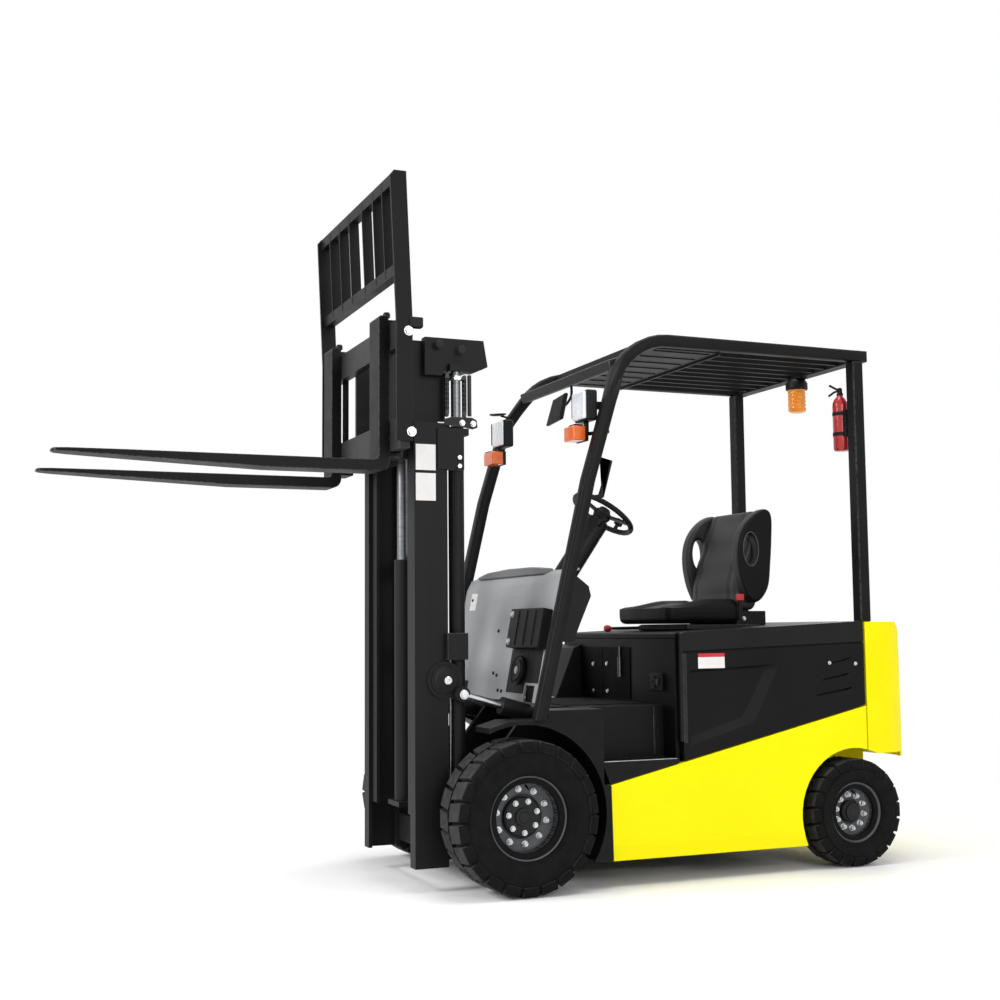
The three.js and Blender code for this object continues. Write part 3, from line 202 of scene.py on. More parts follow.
# Sand-cast iron in black primer: matt and pebbled.
CAST_IRON = finish(
    "black_cast_iron", "#121213", "#1d1d1e", "cast_iron", 60, (0.55, 0.7), 5, 0.2, Specular_IOR_Level=0.3,
)
# Forged fork steel under black paint: mill scale ripples, edges rubbed to grey steel; the grey edge coat is
# also a painted highlight.
FORK_STEEL = finish(
    "forged_fork_steel", "#0f0f10", "#171718", "fork_steel", 110, (0.42, 0.56), 12, 0.06, wear_and_highlight="#4a4b4d",
    Specular_IOR_Level=0.12,
)
# Painted carriage bars: the grey primer shows faintly through the black.
CARRIAGE_PAINT = finish(
    "carriage_paint", "#1e1e1f", "#272728", "fork_steel", 90, (0.42, 0.56), 6, 0.05, wear_and_highlight="#57585a",
    Specular_IOR_Level=0.2,
)
# Hard chrome plate on ground steel: mirror-like, with hair-fine rings.
CHROME = finish(
    "hard_chrome", "#b9bcc0", "#cfd2d5", "chrome_rod", 70, (0.16, 0.24), 3, 0.004, stretch=(1, 1, 8),
    Metallic=1.0,
)
# Ground steel under an oil film: greyer than the chrome and duller.
OILED_ROD = finish(
    "oiled_ground_steel", "#6c6e71", "#808285", "chrome_rod", 50, (0.3, 0.4), 4, 0.005, stretch=(1, 1, 6),
    Metallic=1.0,
)
# Stove-enamelled steel wheel: mid grey, satin.
RIM_ENAMEL = finish(
    "wheel_enamel", "#434447", "#515256", "rim_steel", 60, (0.36, 0.46), 4, 0.04, wear_and_highlight="#6b6c6e",
    Specular_IOR_Level=0.35,
)
# Solid tyre rubber: matt carbon black, dusty where it meets the ground.
TYRE_RUBBER = finish(
    "tyre_rubber", "#0f0f0f", "#181818", "tyre_rubber", 45, (0.7, 0.82), 3.2, 0.1, Specular_IOR_Level=0.08,
)
# The running faces of the lugs are the same rubber, scuffed paler and greyer by the floor.
TREAD_RUBBER = finish(
    "tread_rubber", "#202020", "#363636", "tyre_rubber", 28, (0.7, 0.86), 3.2, 0.16, Specular_IOR_Level=0.25,
)
# Ribbed floor mat rubber.
MAT_RUBBER = finish(
    "floor_mat_rubber", "#111112", "#19191a", "floor_rubber", 70, (0.62, 0.76), 3, 0.08,
    Specular_IOR_Level=0.15,
)
# Injection-moulded black polypropylene for small fittings and controls.
BLACK_PLASTIC = finish(
    "black_polypropylene", "#0f0f11", "#171719", "black_plastic", 70, (0.42, 0.54), 1.8, 0.05,
    Specular_IOR_Level=0.18,
)
# Grained black vinyl upholstery: small soft cells like hide, with a low oily sheen.
SEAT_VINYL = finish(
    "black_vinyl", "#0a0a0b", "#111112", "seat_vinyl", 110, (0.44, 0.54), 3.4, 0.16, cells=True,
    Specular_IOR_Level=0.12,
)
# The lighter vinyl of the backrest's middle panel, a charcoal grey: a painted highlight on the vinyl.
HIGHLIGHT_VINYL = finish(
    "charcoal_vinyl_painted_highlight", "#242425", "#2d2d2e", "seat_vinyl", 90, (0.46, 0.56), 3.4, 0.16, cells=True,
    Specular_IOR_Level=0.4,
)
# Black waxed stitching and piping cord along the seams.
PIPING = finish("seam_piping", "#3a3a3c", "#4a4a4c", "seat_vinyl", 30, (0.5, 0.6), 1.6, 0.1)
# Orange polycarbonate lens: saturated, glossy.
AMBER_LENS = finish(
    "amber_polycarbonate", "#ea5f0c", "#f2721c", "amber_lens", 40, (0.12, 0.2), 6, 0.05, Coat_Weight=0.4,
    Coat_Roughness=0.08,
)
# The warning beacon's lens is a lighter, yellower orange than the lamps.
BEACON_LENS = finish(
    "beacon_polycarbonate", "#ee8408", "#f8a01c", "amber_lens", 26, (0.12, 0.2), 5, 0.1, Coat_Weight=0.4,
    Coat_Roughness=0.08,
)
# Red gloss enamel on the extinguisher bottle.
RED_ENAMEL = finish(
    "red_enamel", "#a51319", "#b91a20", "red_paint", 120, (0.22, 0.3), 6, 0.02, Coat_Weight=0.4,
    Coat_Roughness=0.1,
)
# Red ABS of the buckle, the lever knob and the tell-tale line of the blank plate.
RED_PLASTIC = finish("red_abs", "#c21d26", "#cf2a32", None, 40, (0.3, 0.4), 2, 0.02)
# Bright zinc-plated bolts: pale, faintly blue, a little clouded.
ZINC = finish("zinc_plate", "#c3c6c8", "#dfe1e2", None, 9, (0.24, 0.36), 2, 0.01, Metallic=1.0)
# Oiled leaf-chain steel: dark, glossy where the oil lies.
CHAIN_STEEL = finish("oiled_chain_steel", "#26262a", "#3a3a3e", None, 12, (0.24, 0.4), 2, 0.02, Metallic=0.8)
# Hydraulic hose cover: matt black rubber with a cloth-like wrap mark.
HOSE_RUBBER = finish("hose_rubber", "#151516", "#1d1d1e", None, 20, (0.5, 0.62), 2.4, 0.06)
# Blank printed plates: off-white film.
WHITE_FILM = finish("white_label_film", "#e6e4e1", "#eeecea", None, 60, (0.35, 0.42), 5, 0.01)
# Acrylic of the head lamps: milky white over a bright reflector.
LAMP_GLASS = finish(
    "lamp_acrylic", "#dfe6ee", "#f4f7fb", None, 14, (0.1, 0.16), 5, 0.12, cells=True, Coat_Weight=0.6,
    Coat_Roughness=0.05,
)
# Silvered mirror glass.
MIRROR_GLASS = finish("silvered_glass", "#c9ced2", "#d6dade", None, 90, (0.04, 0.07), 30, 0.002, Metallic=1.0)
# Stamped aluminium reflector and brushed trim.
BRIGHT_ALUMINIUM = finish(
    "brushed_aluminium", "#b4b6b8", "#c8cacc", None, 30, (0.28, 0.38), 2, 0.02, stretch=(1, 0.1, 1),
    Metallic=1.0,
)


# ---------------------------------------------------------------- shapes
def block(bm, places):
    """A closed block on eight corners, given in the order that corner_box counts them."""
    corners = [bm.verts.new(p) for p in places]
    for face in ((0, 1, 3, 2), (4, 6, 7, 5), (0, 4, 5, 1), (2, 3, 7, 6), (0, 2, 6, 4), (1, 5, 7, 3)):
        bm.faces.new([corners[i] for i in face])


def corner_box(bm, x0, x1, y0, y1, z0, z1):
    """A block between six limits, in millimetres."""
    block(bm, [at(x, y, z) for x in (x0, x1) for y in (y0, y1) for z in (z0, z1)])


def wall(bm, a, b):
    """The faces between two rings that have the same number of points."""
    for i in range(len(a)):
        j = (i + 1) % len(a)
        bm.faces.new((a[j], a[i], b[i], b[j]))


def plate(bm, outline, axis, low, high):
    """A flat outline pushed through a thickness along x, y or z; the outline gives the other two, in order."""

    def point(a, b, d):
        return {"x": at(d, a, b), "y": at(a, d, b), "z": at(a, b, d)}[axis]

    rings = [[bm.verts.new(point(a, b, d)) for a, b in outline] for d in (low, high)]
    bm.faces.new(rings[0])
    bm.faces.new(rings[1][::-1])
    wall(bm, *rings)


def lathe(bm, profile, centre, direction, sides=48):
    """A profile of (radius, distance along the axis) pairs in millimetres, turned round an axis."""
    axis = Vector(direction).normalized()
    turn = Vector((0, 0, 1)).rotation_difference(axis).to_matrix()
    rings = []
    for radius, distance in profile:
        if radius < 1e-6:
            rings.append([bm.verts.new(centre + turn @ Vector((0, 0, distance * MM)))])
            continue
        ring = []
        for i in range(sides):
            a = math.tau * i / sides
            spoke = Vector((radius * math.cos(a), radius * math.sin(a), distance))
            ring.append(bm.verts.new(centre + turn @ spoke * MM))
        rings.append(ring)
    closed = profile[0][0] > 1e-6
    if closed:
        rings.append(rings[0])
    for lower, upper in zip(rings, rings[1:]):
        for i in range(sides):
            j = (i + 1) % sides
            quad = [lower[i % len(lower)], lower[j % len(lower)], upper[j % len(upper)], upper[i % len(upper)]]
            face = list(dict.fromkeys(quad))
            if len(face) > 2:
                bm.faces.new(face)


def rod(bm, a, b, radius, sides=20):
    """A round bar between two points."""
    run = b - a
    lathe(bm, [(0, 0), (radius, 0), (radius, run.length / MM), (0, run.length / MM)], a, run, sides)


def smooth_line(points, steps=8):
    """A smooth curve through the points."""
    padded = [points[0] * 2 - points[1], *points, points[-1] * 2 - points[-2]]
    line = []
    for p0, p1, p2, p3 in zip(padded, padded[1:], padded[2:], padded[3:]):
        for s in range(steps):
            t = s / steps
            bend, twist = 2 * p0 - 5 * p1 + 4 * p2 - p3, 3 * p1 - p0 - 3 * p2 + p3
            line.append(0.5 * (2 * p1 + (p2 - p0) * t + bend * t**2 + twist * t**3))
    return [*line, points[-1]]


def tube(bm, points, radius, sides=12, loop=False):
    """A round tube along a line of points; radius in millimetres, one number or one for each point."""
    count = len(points)
    radii = radius if hasattr(radius, "__len__") else [radius] * count
    rings = []
    side = None
    for i, p in enumerate(points):
        ahead = points[(i + 1) % count] if loop or i + 1 < count else p
        behind = points[i - 1] if loop or i else p
        along = (ahead - behind).normalized()
        if side is None:
            side = along.orthogonal().normalized()
        side = (side - along * side.dot(along)).normalized()
        other = along.cross(side)
        ring = []
        for k in range(sides):
            a = math.tau * k / sides
            ring.append(bm.verts.new(p + (side * math.cos(a) + other * math.sin(a)) * radii[i] * MM))
        rings.append(ring)
    pairs = list(zip(rings, rings[1:]))
    if loop:
        pairs.append((rings[-1], rings[0]))
    else:
        bm.faces.new(rings[0][::-1])
        bm.faces.new(rings[-1])
    for lower, upper in pairs:
        for k in range(sides):
            n = (k + 1) % sides
            bm.faces.new((lower[k], lower[n], upper[n], upper[k]))


def soften(mesh, angle):
    """Shades the mesh smooth, up to the edges that turn more than angle degrees."""
    for polygon in mesh.polygons:
        polygon.use_smooth = True
    mesh.set_sharp_from_angle(angle=math.radians(angle))


def settle(obj):
    """Turns the object's modifiers into a plain mesh."""
    evaluated = obj.evaluated_get(bpy.context.evaluated_depsgraph_get())
    made = bpy.data.meshes.new_from_object(evaluated)
    obj.modifiers.clear()
    obj.data = made
    return obj


def coat_over(obj, coat):
    """Puts the coat on the whole mesh; its paler partner for edge wear and painted highlight, if it has one, is
    kept for the rounded edges.
    """
    obj.data.materials.clear()
    for made in (coat, WORN_AND_HIGHLIGHT_COAT.get(coat.name)):
        if made:
            obj.data.materials.append(made)


def recoat(obj, coat, chosen):
    """Adds a coat and puts it on the faces that chosen picks."""
    obj.data.materials.append(coat)
    for polygon in obj.data.polygons:
        if chosen(polygon.center, polygon.normal):
            polygon.material_index = len(obj.data.materials) - 1


def round_edges(obj, width, segments=2, angle=28):
    """Rounds the sharp edges, and shades flat faces flat up to the rounding."""
    soften(obj.data, angle)
    bevel = obj.modifiers.new("edge", "BEVEL")
    bevel.width = width * MM
    bevel.segments = segments
    bevel.limit_method = "ANGLE"
    bevel.angle_limit = math.radians(angle)
    # The rounding takes the second coat where there is one: edge wear and painted highlight.
    bevel.material = 1 if len(obj.data.materials) > 1 else -1
    settle(obj)
    soften(obj.data, 42)
    even = obj.modifiers.new("even", "WEIGHTED_NORMAL")
    even.keep_sharp = True
    return settle(obj)


def shown(name, bm):
    """A mesh object made from bm, with its faces turned outwards."""
    bmesh.ops.recalc_face_normals(bm, faces=bm.faces)
    mesh = bpy.data.meshes.new(name)
    bm.to_mesh(mesh)
    bm.free()
    obj = bpy.data.objects.new(name, mesh)
    bpy.context.scene.collection.objects.link(obj)
    return obj


def rest_on(obj, body):
    """Sets the finished piece on its body; given a pair of bodies, it only bakes the piece's place into its
    mesh.
    """
    if isinstance(body, tuple):
        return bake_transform(obj)
    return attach(obj, body)


def piece(name, bm, coat, body, edge=0.0, segments=2, sharp=35):
    """A new rigid piece from bm, with rounded edges of that radius in millimetres."""
    obj = shown(name, bm)
    coat_over(obj, coat)
    if edge:
        round_edges(obj, edge, segments)
    else:
        soften(obj.data, sharp)
    return rest_on(obj, body)


def single(name, coat, body, shape, *sizes, **looks):
    """A piece of one shape (corner_box, plate, lathe, rod, tube or cowl_plate) with the sizes of that shape."""
    bm = bmesh.new()
    shape(bm, *sizes)
    return piece(name, bm, coat, body, **looks)


# The loose triangles of a CAD node are welded at WELD mm, and joined where they turn less than FLAT degrees.
WELD, FLAT = 0.02, 0.8


def skin(node, coat, edge=1.5, tools=None, segments=2, name=None):
    """A CAD node's own shape with rounded edges and its finish; tools is a bmesh that is cut out of it."""
    source = frame["nodes"][node]
    bm = bmesh.new()
    bm.from_mesh(source.data)
    bmesh.ops.remove_doubles(bm, verts=bm.verts, dist=WELD * MM)
    bmesh.ops.dissolve_limit(bm, angle_limit=math.radians(FLAT), verts=bm.verts, edges=bm.edges)
    obj = shown(name or node + "_skin", bm)
    if tools:
        cutter = shown(node + "_cutter", tools)
        carve = obj.modifiers.new("carve", "BOOLEAN")
        carve.object = cutter
        carve.solver = "EXACT"
        settle(obj)
        bpy.data.objects.remove(cutter)
    coat_over(obj, coat)
    if edge:
        round_edges(obj, edge, segments)
    else:
        soften(obj.data, 35)
    rest_on(obj, source["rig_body"])
    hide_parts(node)
    return obj


# ---------------------------------------------------------------- repeats
def new_tree(name, sizes):
    """An empty Geometry Nodes tree with named sizes as inputs, its inputs, and a function that ends it."""
    tree = bpy.data.node_groups.new(name, "GeometryNodeTree")
    for label, kind, value in (("Geometry", "Geometry", None), *sizes, ("Coat", "Material", None)):
        socket = tree.interface.new_socket(label, in_out="INPUT", socket_type="NodeSocket" + kind)
        if value is not None:
            socket.default_value = value
    tree.interface.new_socket("Geometry", in_out="OUTPUT", socket_type="NodeSocketGeometry")
    given = add(tree, "NodeGroupInput")

    def close(geometry):
        real = add(tree, "GeometryNodeRealizeInstances", {0: geometry})
        coated = add(
            tree, "GeometryNodeSetMaterial", {"Geometry": real.outputs[0], "Material": given.outputs["Coat"]},
        )
        add(tree, "NodeGroupOutput", {0: coated.outputs[0]})
        return tree

    return tree, given.outputs, close


def ring_of_copies():
    """The input mesh, repeated round an axis along y through Centre."""
    sizes = [("Count", "Int", 12), ("Turn", "Float", 0.0), ("Centre", "Vector", None)]
    tree, given, close = new_tree("ring_of_copies", sizes)
    home = add(tree, "ShaderNodeVectorMath", {0: given["Centre"], "Scale": -1.0}, operation="SCALE")
    inward = add(tree, "GeometryNodeTransform", {"Geometry": given["Geometry"], "Translation": home.outputs[0]})
    spots = add(tree, "GeometryNodeMeshLine", {"Count": given["Count"], "Offset": (0, 0, 0)})
    index = add(tree, "GeometryNodeInputIndex")
    share = add(tree, "ShaderNodeMath", {0: index.outputs[0], 1: given["Count"]}, operation="DIVIDE")
    angle = add(
        tree, "ShaderNodeMath", {0: share.outputs[0], 1: math.tau, 2: given["Turn"]}, operation="MULTIPLY_ADD",
    )
    turn = add(tree, "FunctionNodeAxisAngleToRotation", {"Axis": (0, 1, 0), "Angle": angle.outputs[0]})
    copies = add(
        tree, "GeometryNodeInstanceOnPoints",
        {"Points": spots.outputs[0], "Instance": inward.outputs[0], "Rotation": turn.outputs[0]},
    )
    outward = add(
        tree, "GeometryNodeTransform", {"Geometry": copies.outputs[0], "Translation": given["Centre"]},
    )
    return close(outward.outputs[0])


def row_of_copies():
    """The input mesh, repeated along a straight step."""
    tree, given, close = new_tree("row_of_copies", [("Count", "Int", 10), ("Step", "Vector", None)])
    spots = add(tree, "GeometryNodeMeshLine", {"Count": given["Count"], "Offset": given["Step"]})
    copies = add(
        tree, "GeometryNodeInstanceOnPoints", {"Points": spots.outputs[0], "Instance": given["Geometry"]},
    )
    return close(copies.outputs[0])


def fasteners():
    """A hexagon head on a round washer at each input point, standing along the point's aim."""
    sizes = [
        ("Head Radius", "Float", 0.01), ("Head Height", "Float", 0.008), ("Head Sides", "Int", 6),
        ("Washer Radius", "Float", 0.014), ("Washer Height", "Float", 0.002),
    ]
    tree, given, close = new_tree("fasteners", sizes)
    aim = add(tree, "GeometryNodeInputNamedAttribute", {"Name": "aim"}, data_type="FLOAT_VECTOR")
    turn = add(tree, "FunctionNodeAlignRotationToVector", {"Vector": aim.outputs[0]}, axis="Z")
    parts = add(tree, "GeometryNodeJoinGeometry")
    stack = (
        ("Head Radius", "Head Height", given["Head Sides"], "Washer Height"),
        ("Washer Radius", "Washer Height", 20, None),
    )
    for radius, height, sides, below in stack:
        disc = add(
            tree, "GeometryNodeMeshCylinder",
            {"Vertices": sides, "Radius": given[radius], "Depth": given[height]},
        )
        half = add(tree, "ShaderNodeMath", {0: given[height], 1: 0.5}, operation="MULTIPLY")
        lift = half.outputs[0]
        if below:
            lift = add(tree, "ShaderNodeMath", {0: lift, 1: given[below]}).outputs[0]
        up = add(tree, "ShaderNodeCombineXYZ", {"Z": lift})
        raised = add(tree, "GeometryNodeTransform", {"Geometry": disc.outputs[0], "Translation": up.outputs[0]})
        tree.links.new(raised.outputs[0], parts.inputs[0])
    copies = add(
        tree, "GeometryNodeInstanceOnPoints",
        {"Points": given["Geometry"], "Instance": parts.outputs[0], "Rotation": turn.outputs[0]},
    )
    return close(copies.outputs[0])


RING = ring_of_copies()
ROW = row_of_copies()
FASTENERS = fasteners()


def grow(obj, tree, values, body, edge=0.0, sharp=35):
    """Runs a tree on obj with its named inputs set, keeps the result as a plain mesh, and puts it in place."""
    made = obj.modifiers.new("grow", "NODES")
    made.node_group = tree
    for item in tree.interface.items_tree:
        if item.in_out == "INPUT" and item.name in values:
            made[item.identifier] = values[item.name]
    settle(obj)
    coat_over(obj, values["Coat"])
    if edge:
        round_edges(obj, edge, 1)
    else:
        soften(obj.data, sharp)
    return rest_on(obj, body)


def bolts(name, places, body, head=10.0, tall=7.0, sides=6, washer=0.0, coat=ZINC, edge=0.8):
    """Bolt heads at (point, direction) places; sizes in millimetres."""
    mesh = bpy.data.meshes.new(name)
    mesh.from_pydata([p for p, _ in places], [], [])
    aim = mesh.attributes.new("aim", "FLOAT_VECTOR", "POINT")
    for i, (_, direction) in enumerate(places):
        aim.data[i].vector = direction
    obj = bpy.data.objects.new(name, mesh)
    bpy.context.scene.collection.objects.link(obj)
    values = {
        "Head Radius": head * MM,
        "Head Height": tall * MM,
        "Head Sides": sides,
        "Washer Radius": (washer or head * 1.25) * MM,
        "Washer Height": 2 * MM,
        "Coat": coat,
    }
    return grow(obj, FASTENERS, values, body, edge)


X, Y, Z = Vector((1, 0, 0)), Vector((0, 1, 0)), Vector((0, 0, 1))

# ---------------------------------------------------------------- wheels
# A lug's share of its pitch, how far its inner end leads, in pitches, and how much wider it is at its foot.
LUG_SHARE, LUG_LEAN, LUG_FOOT = 0.82, 0.16, 1.06


def wheel(where, side, front):
    """A tyre with two staggered rows of lugs, its dished rim and its nuts."""
    name = ("front_" if front else "rear_") + where
    low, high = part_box(name + "_tyre")
    centre = (low + high) / 2
    radius = (high.z - low.z) / 2 / MM
    half = (high.y - low.y) / 2 / MM
    bead = 158 if front else 124
    body = name + "_wheel"
    base = radius - (15 if front else 11)
    well = bead - 26
    sidewall = [
        (well, -half + 30), (bead + 2, -half + 26), (bead + 5, -half + 12), (bead + 11, -half + 7),
        (bead + 15, -half + 8), (bead + 20, -half + 4), ((bead + radius) / 2 + 6, -half + 1),
        (base - 34, -half + 3), (base - 30, -half + 6), (base - 10, -half + 12), (base, -half + 26),
    ]
    crown = [(base, -12), (base - 3, -6), (base - 3, 6), (base, 12)]
    tyre = single(
        name + "_carcass", TYRE_RUBBER, body, lathe,
        [*sidewall, *crown, *[(r, -d) for r, d in reversed(sidewall)]], centre, Y, 96, sharp=40,
    )
    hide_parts(name + "_tyre")

    count = 22 if front else 20
    pitch = math.tau / count
    for row, out in (("outer", side), ("inner", -side)):
        outline = [
            (5, radius), (half - 24, radius), (half - 10, radius - 5), (half - 2, radius - 20),
            (half - 0.5, radius - 38), (half - 9, radius - 42), (half - 16, radius - 24), (half - 30, base - 4),
            (5, base - 5),
        ]
        bm = bmesh.new()
        flanks = []
        for share in (-LUG_SHARE / 2, LUG_SHARE / 2):
            ring = []
            for across, r in outline:
                lean = LUG_LEAN * pitch * (1 - across / half)
                a = share * pitch * (1.0 if r > base else LUG_FOOT) + lean
                ring.append(
                    bm.verts.new(centre + Vector((r * math.sin(a), out * across, r * math.cos(a))) * MM),
                )
            flanks.append(ring)
        bm.faces.new(flanks[0])
        bm.faces.new(flanks[1][::-1])
        wall(bm, *flanks)
        lug = shown(f"{name}_{row}_lugs", bm)
        turn = 0.0 if row == "outer" else pitch / 2
        values = {"Count": count, "Turn": turn, "Centre": centre, "Coat": TREAD_RUBBER}
        grow(lug, RING, values, body, edge=2.2)
        recoat(lug, TYRE_RUBBER, lambda spot, facing: abs(facing.y) > 0.6)

    lip = bead + 2
    barrel = bead - 4
    edge = 89 if front else 64
    dish = 16 if front else 14
    nut_ring = 106 if front else 72
    drum = 82 if front else 50
    outside = [
        (0, dish - 6), (drum, dish - 6), (drum + 4, dish), (nut_ring + 14, dish + 2), (nut_ring + 24, dish + 8),
        (barrel - 14, dish + 20), (barrel - 9, edge - 30), (barrel - 5, edge - 14), (barrel - 2, edge - 6),
        (lip - 4, edge - 1), (lip, edge), (lip + 3, edge - 2), (lip + 3, edge - 7), (lip - 1, edge - 10),
        (well, edge - 24),
    ]
    inside = [(well, -edge + 22), (lip - 2, -edge + 10), (lip, -edge), (lip - 8, -edge + 2)]
    back = [(well - 10, -edge + 22), (well - 10, dish - 20), (nut_ring, dish - 16), (0, dish - 16)]
    rim = single(
        name + "_disc", RIM_ENAMEL, body, lathe,
        outside + inside + back, centre, Y * side, 72, sharp=30,
    )
    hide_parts(name + "_rim")

    hub = [
        (0, dish + 34), (20, dish + 34), (24, dish + 31), (34, dish + 30), (36, dish + 22),
        (drum - 10, dish + 19), (drum - 4, dish + 14), (drum - 3, dish - 4), (0, dish - 4),
    ]
    single(name + "_hub", CAST_IRON, body, lathe, hub, centre, Y * side, 48, sharp=25)

    def spots(radius_mm, depth, number, phase):
        found = []
        for i in range(number):
            a = math.tau * (i + phase) / number
            spot = Vector((radius_mm * math.cos(a), side * depth, radius_mm * math.sin(a)))
            found.append((centre + spot * MM, Y * side))
        return found

    bolts(name + "_nuts", spots(nut_ring, dish + 1, 10, 0.3), body, 10.5, 13, 6, 13.5)
    bolts(name + "_studs", spots(nut_ring, dish + 12, 10, 0.3), body, 5.5, 9, 12, 5.6)
    if front:
        bolts(name + "_hub_bolts", spots(61, dish + 19, 7, 0.15), body, 9.5, 8, 6, 12)
    bm = bmesh.new()
    foot = centre + Vector((0, side * (edge - 30), well - 9)) * MM
    tip = foot + Vector((0, side * 20, -9)) * MM
    rod(bm, foot, tip, 4.5, 10)
    rod(bm, tip, tip + (tip - foot).normalized() * 0.012, 3.2, 10)
    piece(name + "_valve", bm, BLACK_PLASTIC, body, 0.5)


for where, side in SIDES:
    wheel(where, side, True)
    wheel(where, side, False)

for node in ("drive_axle", "steer_axle", "rear_left_knuckle", "rear_right_knuckle"):
    skin(node, CAST_IRON, 2.0)

# ---------------------------------------------------------------- chassis and body
skin("chassis_frame", BLACK_PANEL, 1.2)
skin("battery_block", BATTERY_STEEL, 3.0)
skin("floor_plate", MAT_RUBBER, 1.2)

bm = bmesh.new()
corner_box(bm, -676, -668, -296, 296, 700.2, 703.5)
rib = shown("floor_mat_ribs", bm)
grow(rib, ROW, {"Count": 26, "Step": (0.0145, 0, 0), "Coat": MAT_RUBBER}, "chassis", edge=1.0)

for where, side in SIDES:
    skin(where + "_front_fender", BLACK_POWDER, 3.0, segments=3)
    # Step tread: raised bars on the plate and a worn bright nosing along its outer edge.
    bm = bmesh.new()
    corner_box(bm, -668, -656, side * 436, side * 524, 489.8, 493)
    grow(
        shown(where + "_step_bars", bm), ROW, {"Count": 11, "Step": (0.029, 0, 0), "Coat": MAT_RUBBER},
        "chassis", 1.2,
    )
    single(
        where + "_step_nosing", BRIGHT_ALUMINIUM, "chassis", corner_box,
        -680, -352, side * 534, side * 548.6, 484, 492.4, edge=1.6,
    )
    # A folded seam stands on the inner wall of the step.
    single(
        where + "_step_wall_fold", CARRIAGE_PAINT, "chassis", corner_box,
        -648, -640, side * 409.5, side * 426, 500, 694, edge=2.0,
    )

# Side sills: a folded band runs along the bottom edge.
for where, side in SIDES:
    tools = bmesh.new()
    plate(
        tools, [(side * 534, 90), (side * 560, 90), (side * 560, 150), (side * 549.9, 162), (side * 543, 104)],
        "x", -1400, -300,
    )
    skin(where + "_side_sill", YELLOW_ENAMEL, 2.6, tools=tools, segments=3)

skin("counterweight", YELLOW_CASTING, 14.0, segments=4)


def rear_of_truck():
    """The tow pin and its jaw on the counterweight."""
    face = -1897
    bm = bmesh.new()
    for z in (560, 640):
        corner_box(bm, face - 2, face + 30, -70, 70, z - 12, z + 12)
    piece("tow_jaw", bm, CAST_IRON, "chassis", 4.0, 3)
    bm = bmesh.new()
    rod(bm, at(face + 6, 0, 532), at(face + 6, 0, 690), 11, 20)
    rod(bm, at(face + 6, -34, 690), at(face + 6, 34, 690), 6, 14)
    piece("tow_pin", bm, ZINC, "chassis", 0.8)


rear_of_truck()

# ---------------------------------------------------------------- battery hood
PANEL_FACE, POCKET_BED = 550, 534


def hood_top(x):
    """Height of the hood's gently sloping top."""
    return 997 + (-690 - x) / (1614 - 690) * 43


def hood_groove(x):
    """Height of the groove under the upper band."""
    return 918 + (-708 - x) / (1625 - 708) * 31


# Each slot's front and rear end, its height at both, and its thickness.
AIR_SLOTS = ((-1426, -1540, 856, 882, 13), (-1393, -1530, 789, 816, 14), (-1360, -1544, 724, 756, 15))


def hood_cuts():
    """Grooves and air slots of the two side panels."""
    bm = bmesh.new()
    for side in (1, -1):
        outer, inner = side * (PANEL_FACE + 6), side * 542
        front, back = hood_groove(-700), hood_groove(-1616)
        groove = [(-700, front - 4), (-700, front + 4), (-1616, back + 4), (-1616, back - 4)]
        plate(bm, groove, "y", inner, outer)
        for left, right, zl, zr, thick in AIR_SLOTS:
            slot = [
                (left, zl - 1), (left, zl + 2), (left - 22, zl + 2 + thick * 0.6),
                (right, zr + 2), (right, zr - 1), (right + 26, zr - thick * 0.75),
            ]
            plate(bm, slot, "y", side * 538, outer)
    return bm


def pocket_cut(bm, side):
    """The pressed pocket with its sloping rear and lower walls."""
    outer = [(-742, 843), (-1148, 862), (-1170, 846), (-1054, 634), (-1030, 618), (-742, 540)]
    inner = [(-746, 834), (-1104, 850), (-1116, 838), (-1006, 658), (-990, 644), (-746, 572)]
    rings = []
    for outline, y in ((inner, POCKET_BED), (outer, PANEL_FACE + 0.01), (outer, PANEL_FACE + 6)):
        rings.append([bm.verts.new(at(x, side * y, z)) for x, z in outline])
    bm.faces.new(rings[0])
    bm.faces.new(rings[-1][::-1])
    for a, b in zip(rings, rings[1:]):
        wall(bm, a, b)


cuts = hood_cuts()
for side in (1, -1):
    pocket_cut(cuts, side)
hood = skin("battery_hood", BLACK_PANEL, 4.0, tools=cuts, segments=3)


def band_and_highlight_faces(spot, facing):
    """True on the band above the groove, and on the sloping walls of the pocket that face forward and up, where
    the paler colour is a painted highlight.
    """
    band = spot.z > (hood_groove((spot.x - AXLE_X) / MM) + 4) * MM and abs(spot.y) > 0.53
    on_wall = POCKET_BED + 0.1 < abs(spot.y) / MM < PANEL_FACE - 0.1 and spot.z < 0.86
    return band or (on_wall and 0.1 < facing.x + facing.z < 1.3 and abs(facing.y) > 0.3)


recoat(hood, BAND_AND_HIGHLIGHT_PANEL, band_and_highlight_faces)

